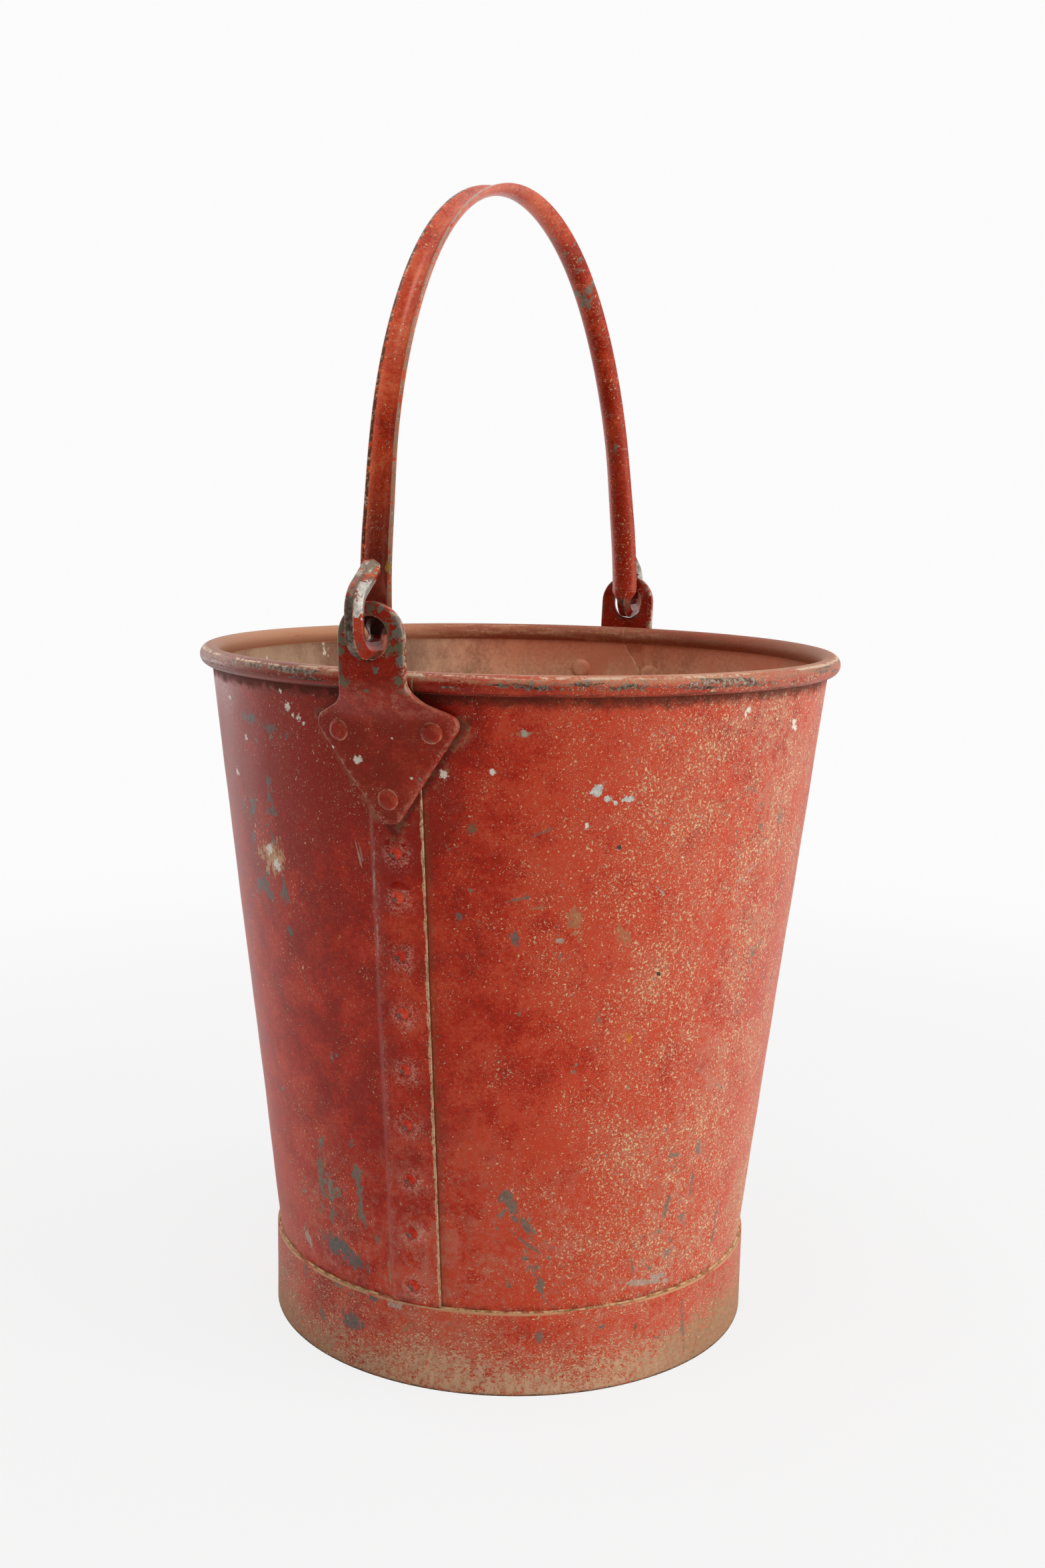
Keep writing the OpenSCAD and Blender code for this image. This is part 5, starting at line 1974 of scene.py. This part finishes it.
    def bail(self) -> Material:
        """The bail's paint: worn to grey on its lips and ridges, and mostly bare on its hooks, with a
        painted shadow on the near leg where it closes up behind its lug.
        """
        paint = PaintFinish("bail_paint", deep=rgb(166, 38, 15), middle=rgb(208, 66, 28),
            bright=rgb(228, 104, 60), balance=0.55, specks=0.45, chips=0.08, chip_color=rgb(110, 100, 86),
            dust=0.1, chip_scale=130, rough=0.28, grain=(1, 1, 0.7))
        material, graph, position = new_material(paint.name)
        x, y, z = graph.parts(position)
        hook = graph.attribute("hook").rise(0.6, 1)
        lip, facet, channel = (graph.attribute(name) for name in ("lip", "facet", "channel"))
        far = y.rise(0.02, 0.09)
        shoulder = y.rise(0.02, 0.05) * z.rise(0.472, 0.488) * z.rise(0.524, 0.512)
        layers = paint.layers(graph, self.effects, position,
            chips=hook * 0.5 + shoulder * 0.45 + far * 0.12,
            balance=far * -0.16 + channel * z.rise(0.47, 0.4) * -0.1)
        broken = graph.mottle(position, 200, 5, 0.7)
        fine = graph.mottle(position, 620, 3, 0.66)
        groove = channel * z.rise(0.42, 0.36) * 0.75
        layers.cover(groove, rgb(104, 36, 24))
        rub = lip.rise(0.3, 0.8) * broken.rise(0.22, 0.45) * 0.9
        across = x + (z - 0.3304) * 0.036
        layers.cover(rub, graph.mix(graph.most(fine.rise(0.5, 0.95), across.rise(-0.002, 0.002, 0.65)),
            rgb(62, 54, 42), rgb(204, 176, 146)))
        low_bend = 0.5 + z.rise(0.356, 0.346, 0.45)
        layers.cover(hook * low_bend, rgb(176, 120, 104), "MULTIPLY")
        worn = graph.mottle(position, 200, 5, 0.7, 0.3)
        tone = graph.mottle(position, 330, 5, 0.7)
        left = facet.rise(0, -0.1)
        wander = z + worn * 0.004 - 0.002
        low_half = wander.rise(0.353, 0.349)
        dark = hook * left * y.rise(0.02, -0.02) * (worn * 0.5 + low_half * 0.5 + 0.2).rise(0.56, 0.64)
        layers.cover(dark * 0.96, graph.mix(tone.rise(0.25, 0.9), rgb(60, 58, 50), rgb(134, 128, 112)))
        tan = hook * left * wander.bump_at(0.3535, 0.0045) * worn.rise(0.3, 0.4)
        layers.cover(tan * 0.9, graph.mix(tone, rgb(112, 100, 78), rgb(176, 158, 130)))
        band = wander.rise(0.344, 0.3452) * wander.rise(0.3585, 0.357)
        pale = hook * facet.rise(0, 0.1) * (worn * 0.8 + band * 0.7).rise(0.85, 0.95)
        layers.cover(pale * 0.96, graph.mix(tone.rise(0.1, 0.9), rgb(158, 154, 144), rgb(206, 206, 196)))
        end = graph.most(graph.attribute("hook").rise(1, 1.2), wander.rise(0.3595, 0.361))
        tip = hook * end * worn.rise(0.35, 0.45)
        layers.cover(tip * 0.9, graph.mix(tone.rise(0.3, 0.7), rgb(124, 124, 106), rgb(200, 196, 178)))
        ridge = hook * facet.bump_at(0, 0.12) * tone.rise(0.3, 0.6) * z.rise(0.35, 0.346) * 0.7
        layers.cover(ridge, rgb(198, 178, 156))
        crease = hook * facet.bump_at(-0.04, 0.3) * tone.rise(0.2, 0.45) * z.rise(0.345, 0.349) * 0.85
        layers.cover(crease, rgb(104, 100, 84))
        # Near black on the near leg where it closes up behind the lug, seen through the eye: a painted
        # shadow.
        form = graph.attribute("hook")
        shadow_behind_lug = form.rise(0.05, 0.2) * form.rise(1, 0.9) * y.rise(0.02, -0.02) * 0.97
        layers.cover(shadow_behind_lug, rgb(30, 16, 12))
        bare = graph.most(dark, pale, tip)
        layers.metallic = bare * 0.3
        layers.height = layers.height - bare * 0.5
        drips = ((0.0035, -0.1490, 0.3625, 0.0022, YELLOW), (-0.0035, -0.1475, 0.378, 0.0018, WHITE),
            (0.0015, -0.1480, 0.386, 0.0013, WHITE), (-0.0045, 0.1490, 0.352, 0.002, YELLOW))
        layers.splash([Blot((a, b, c), r, k) for a, b, c, r, k in drips])
        paint.dress(layers)
        return material

    def putty(self, name: str, pale: tuple, dark: tuple) -> Material:
        """Old putty or a bare sheet edge, cream with dirt in it.

        Args:
            name: the material's name.
            pale, dark: its two colours.

        Returns:
            The material.
        """
        paint = PaintFinish(name)
        material, graph, position = new_material(name)
        broken = graph.mottle(position, 260, 4, 0.7)
        color = graph.mix(broken.rise(0.15, 0.7), dark, pale)
        red = graph.mottle(position, 90, 4, 0.6).rise(0.72, 0.85)
        color = graph.mix(red * 0.7, color, rgb(160, 60, 38))
        paint.dress(Layers(graph, self.effects, position, color, 0.75,
            graph.noise(position, 900, 3, 0.6)), sheen=0)
        return material

    def base(self) -> Material:
        """The base: old paint under brown dust above, and bare grey and rust below."""
        paint = PaintFinish("base_paint", specks=0.3, chips=0.2, dust=0.5)
        material, graph, position = new_material(paint.name)
        layers = paint.layers(graph, self.effects, position)
        dirt = graph.group(self.effects.dirt, Position=position)
        cloud = graph.mottle(position, 30, 5, 0.66, 0.4)
        under = graph.mix(cloud.rise(0.3, 0.7), rgb(116, 112, 102), rgb(122, 74, 46))
        above = graph.parts(position)[2].rise(0.0232, 0.0238)
        ground = graph.mix(above, under, dirt["Color"])
        layers.cover(dirt["Value"].rise(0.12, 0.4, 0.92), ground)
        layers.roughness = 0.86
        paint.dress(layers)
        return material

    def wire(self) -> Material:
        """Bare rusty wire inside the rim."""
        paint = PaintFinish("rim_wire")
        material, graph, position = new_material(paint.name)
        cloud = graph.mottle(position, 200, 4, 0.6)
        color = graph.mix(cloud.rise(0.3, 0.7), rgb(96, 92, 86), rgb(92, 52, 30))
        paint.dress(Layers(graph, self.effects, position, color, 0.6, cloud, 0.6), sheen=0)
        return material


# Studio


@dataclass(frozen=True)
class Camera:
    """The camera of the photograph: place, heading and lens."""

    around: float = radians(22.22)
    distance: float = 0.84656
    height: float = 0.39006
    yaw: float = -0.0025
    pitch: float = radians(9.083)
    roll: float = 0.0193
    focal_px: float = 2675.12
    long_side_px: float = 2352.0
    sensor: float = 36.0

    def build(self) -> None:
        """Makes the camera and gives it to the scene."""
        heading = self.around + self.yaw
        right = Vector((cos(heading), sin(heading), 0))
        level = Vector((-sin(heading), cos(heading), 0))
        up = Vector((0, 0, 1))
        ahead = level * cos(self.pitch) - up * sin(self.pitch)
        top = up * cos(self.pitch) + level * sin(self.pitch)
        rolled = right * cos(self.roll) + top * sin(self.roll)
        top = top * cos(self.roll) - right * sin(self.roll)
        data = bpy.data.cameras.new("camera")
        data.sensor_width = self.sensor
        data.lens = self.focal_px * self.sensor / self.long_side_px
        data.clip_start, data.clip_end = 0.02, 50
        camera = bpy.data.objects.new("camera", data)
        matrix = Matrix((rolled, top, -ahead)).transposed().to_4x4()
        matrix.translation = Vector((self.distance * sin(self.around), -self.distance * cos(self.around),
            self.height))
        camera.matrix_world = matrix
        bpy.context.scene.collection.objects.link(camera)
        bpy.context.scene.camera = camera


@dataclass(frozen=True)
class Lamp:
    """A soft area lamp aimed at a point."""

    name: str
    place: tuple[float, float, float]
    size: tuple[float, float]
    power: float
    aim: tuple[float, float, float] = (0, 0, 0.22)

    def build(self) -> None:
        """Hangs the lamp."""
        data = bpy.data.lights.new(self.name, "AREA")
        data.shape = "RECTANGLE"
        data.size, data.size_y = self.size
        data.energy = self.power
        lamp = bpy.data.objects.new(self.name, data)
        lamp.location = self.place
        lamp.rotation_mode = "QUATERNION"
        lamp.rotation_quaternion = (Vector(self.aim) - Vector(self.place)).to_track_quat("-Z", "Y")
        bpy.context.scene.collection.objects.link(lamp)


@dataclass(frozen=True)
class Studio:
    """Pale floor, white surroundings and soft light, brighter from the right."""

    lamps: tuple[Lamp, ...] = (Lamp("key", (1.5, 0.1, 0.7), (1.1, 1.3), 12),
        Lamp("top", (0, -0.35, 1.5), (0.5, 0.5), 5, (0, 0.06, 0.3)),
        Lamp("left", (-1.4, 0.3, 0.6), (0.9, 1.2), 4))

    def build(self) -> None:
        """Sets the view, the world, the floor and the lamps."""
        bpy.context.scene.view_settings.view_transform = "Standard"
        self.world()
        self.floor()
        for lamp in self.lamps:
            lamp.build()
        Camera().build()

    def world(self) -> None:
        """White to the camera; for the object, dim in front and white behind and beside."""
        world = bpy.data.worlds.new("surroundings")
        world.use_nodes = True
        world.node_tree.nodes.clear()
        bpy.context.scene.world = world
        graph = Graph(world.node_tree)
        x, y, z = graph.parts(graph.coordinates("Generated"))
        ahead = radians(8)
        facing = x * -sin(ahead) + y * cos(ahead)
        back = facing.rise(-0.72, -0.25)
        right = x.rise(-0.3, 0.9)
        above = z.rise(0.1, 0.9)
        level = 0.02 + back * 0.35 + right * 0.15 + above * 0.2
        path = graph.add("ShaderNodeLightPath")
        seen = graph.math("MAXIMUM", path.outputs["Is Camera Ray"], path.outputs["Is Transmission Ray"])
        shine = graph.math("MULTIPLY", path.outputs["Is Glossy Ray"], back)
        strength = graph.most(seen * 0.97, shine, level)
        shader = graph.shade("ShaderNodeBackground", Color=(1, 1, 1, 1), Strength=strength)
        graph.fill(graph.add("ShaderNodeOutputWorld"), Surface=shader)

    def floor(self) -> None:
        """A round white floor that fades into the surroundings and keeps the object's shadow."""
        bm = bmesh.new()
        bmesh.ops.create_circle(bm, cap_ends=True, cap_tris=False, segments=96, radius=2.2)
        mesh = bpy.data.meshes.new("floor")
        bm.to_mesh(mesh)
        bm.free()
        floor = bpy.data.objects.new("floor", mesh)
        bpy.context.scene.collection.objects.link(floor)
        material, graph, position = new_material("floor_white")
        x, y, _ = graph.parts(position)
        away = graph.length(x, y)
        matte = graph.shade("ShaderNodeBsdfDiffuse", Color=(0.86, 0.86, 0.86, 1))
        glow = graph.shade("ShaderNodeEmission", Color=(1, 1, 1, 1), Strength=0.945)
        seen = graph.shade_either(0.86, matte, glow)
        clear = graph.shade("ShaderNodeBsdfTransparent")
        faded = graph.shade_either(away.rise(0.35, 1.1), seen, clear)
        path = graph.add("ShaderNodeLightPath")
        both = graph.shade_either(path.outputs["Is Camera Ray"], matte, faded)
        graph.fill(graph.add("ShaderNodeOutputMaterial"), Surface=both)
        mesh.materials.append(material)


def carried(frame: dict, node: str, material: Material) -> None:
    """Gives a CAD node that stays in view its finish.

    Args:
        frame: the loaded frame.
        node: the node's name.
        material: its finish.
    """
    piece = frame["nodes"][node]
    piece.data.materials.clear()
    piece.data.materials.append(material)
    LOG.info("%s: CAD node kept, finished as %s", node, material.name)


def main() -> None:
    """Builds the scene in order."""
    logging.basicConfig(level=logging.INFO, format="%(name)s %(message)s")
    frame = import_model()
    workshop = Workshop()
    Studio().build()
    effects = Effects()
    finishes = Finishes(effects)
    body = BodyFinish(effects).build()
    edge = finishes.putty("sheet_edge", rgb(246, 222, 178), rgb(172, 134, 92))
    putty = finishes.putty("hoop_putty", rgb(224, 188, 138), rgb(150, 108, 66))
    BodySheets(workshop, body, edge).build()
    FootHoop(workshop, finishes.hoop(), putty).build()
    Lugs(workshop, finishes.lug()).build()
    Rivets(workshop, body, finishes.rivets("seam_rivets", False),
        finishes.rivets("lug_rivets", True)).build()
    Bail(workshop, finishes.bail()).build()
    carried(frame, "base_disc", finishes.base())
    carried(frame, "rim_wire", finishes.wire())
    LOG.info("%d new pieces", len(workshop.made))


if __name__ == "__main__":
    main()
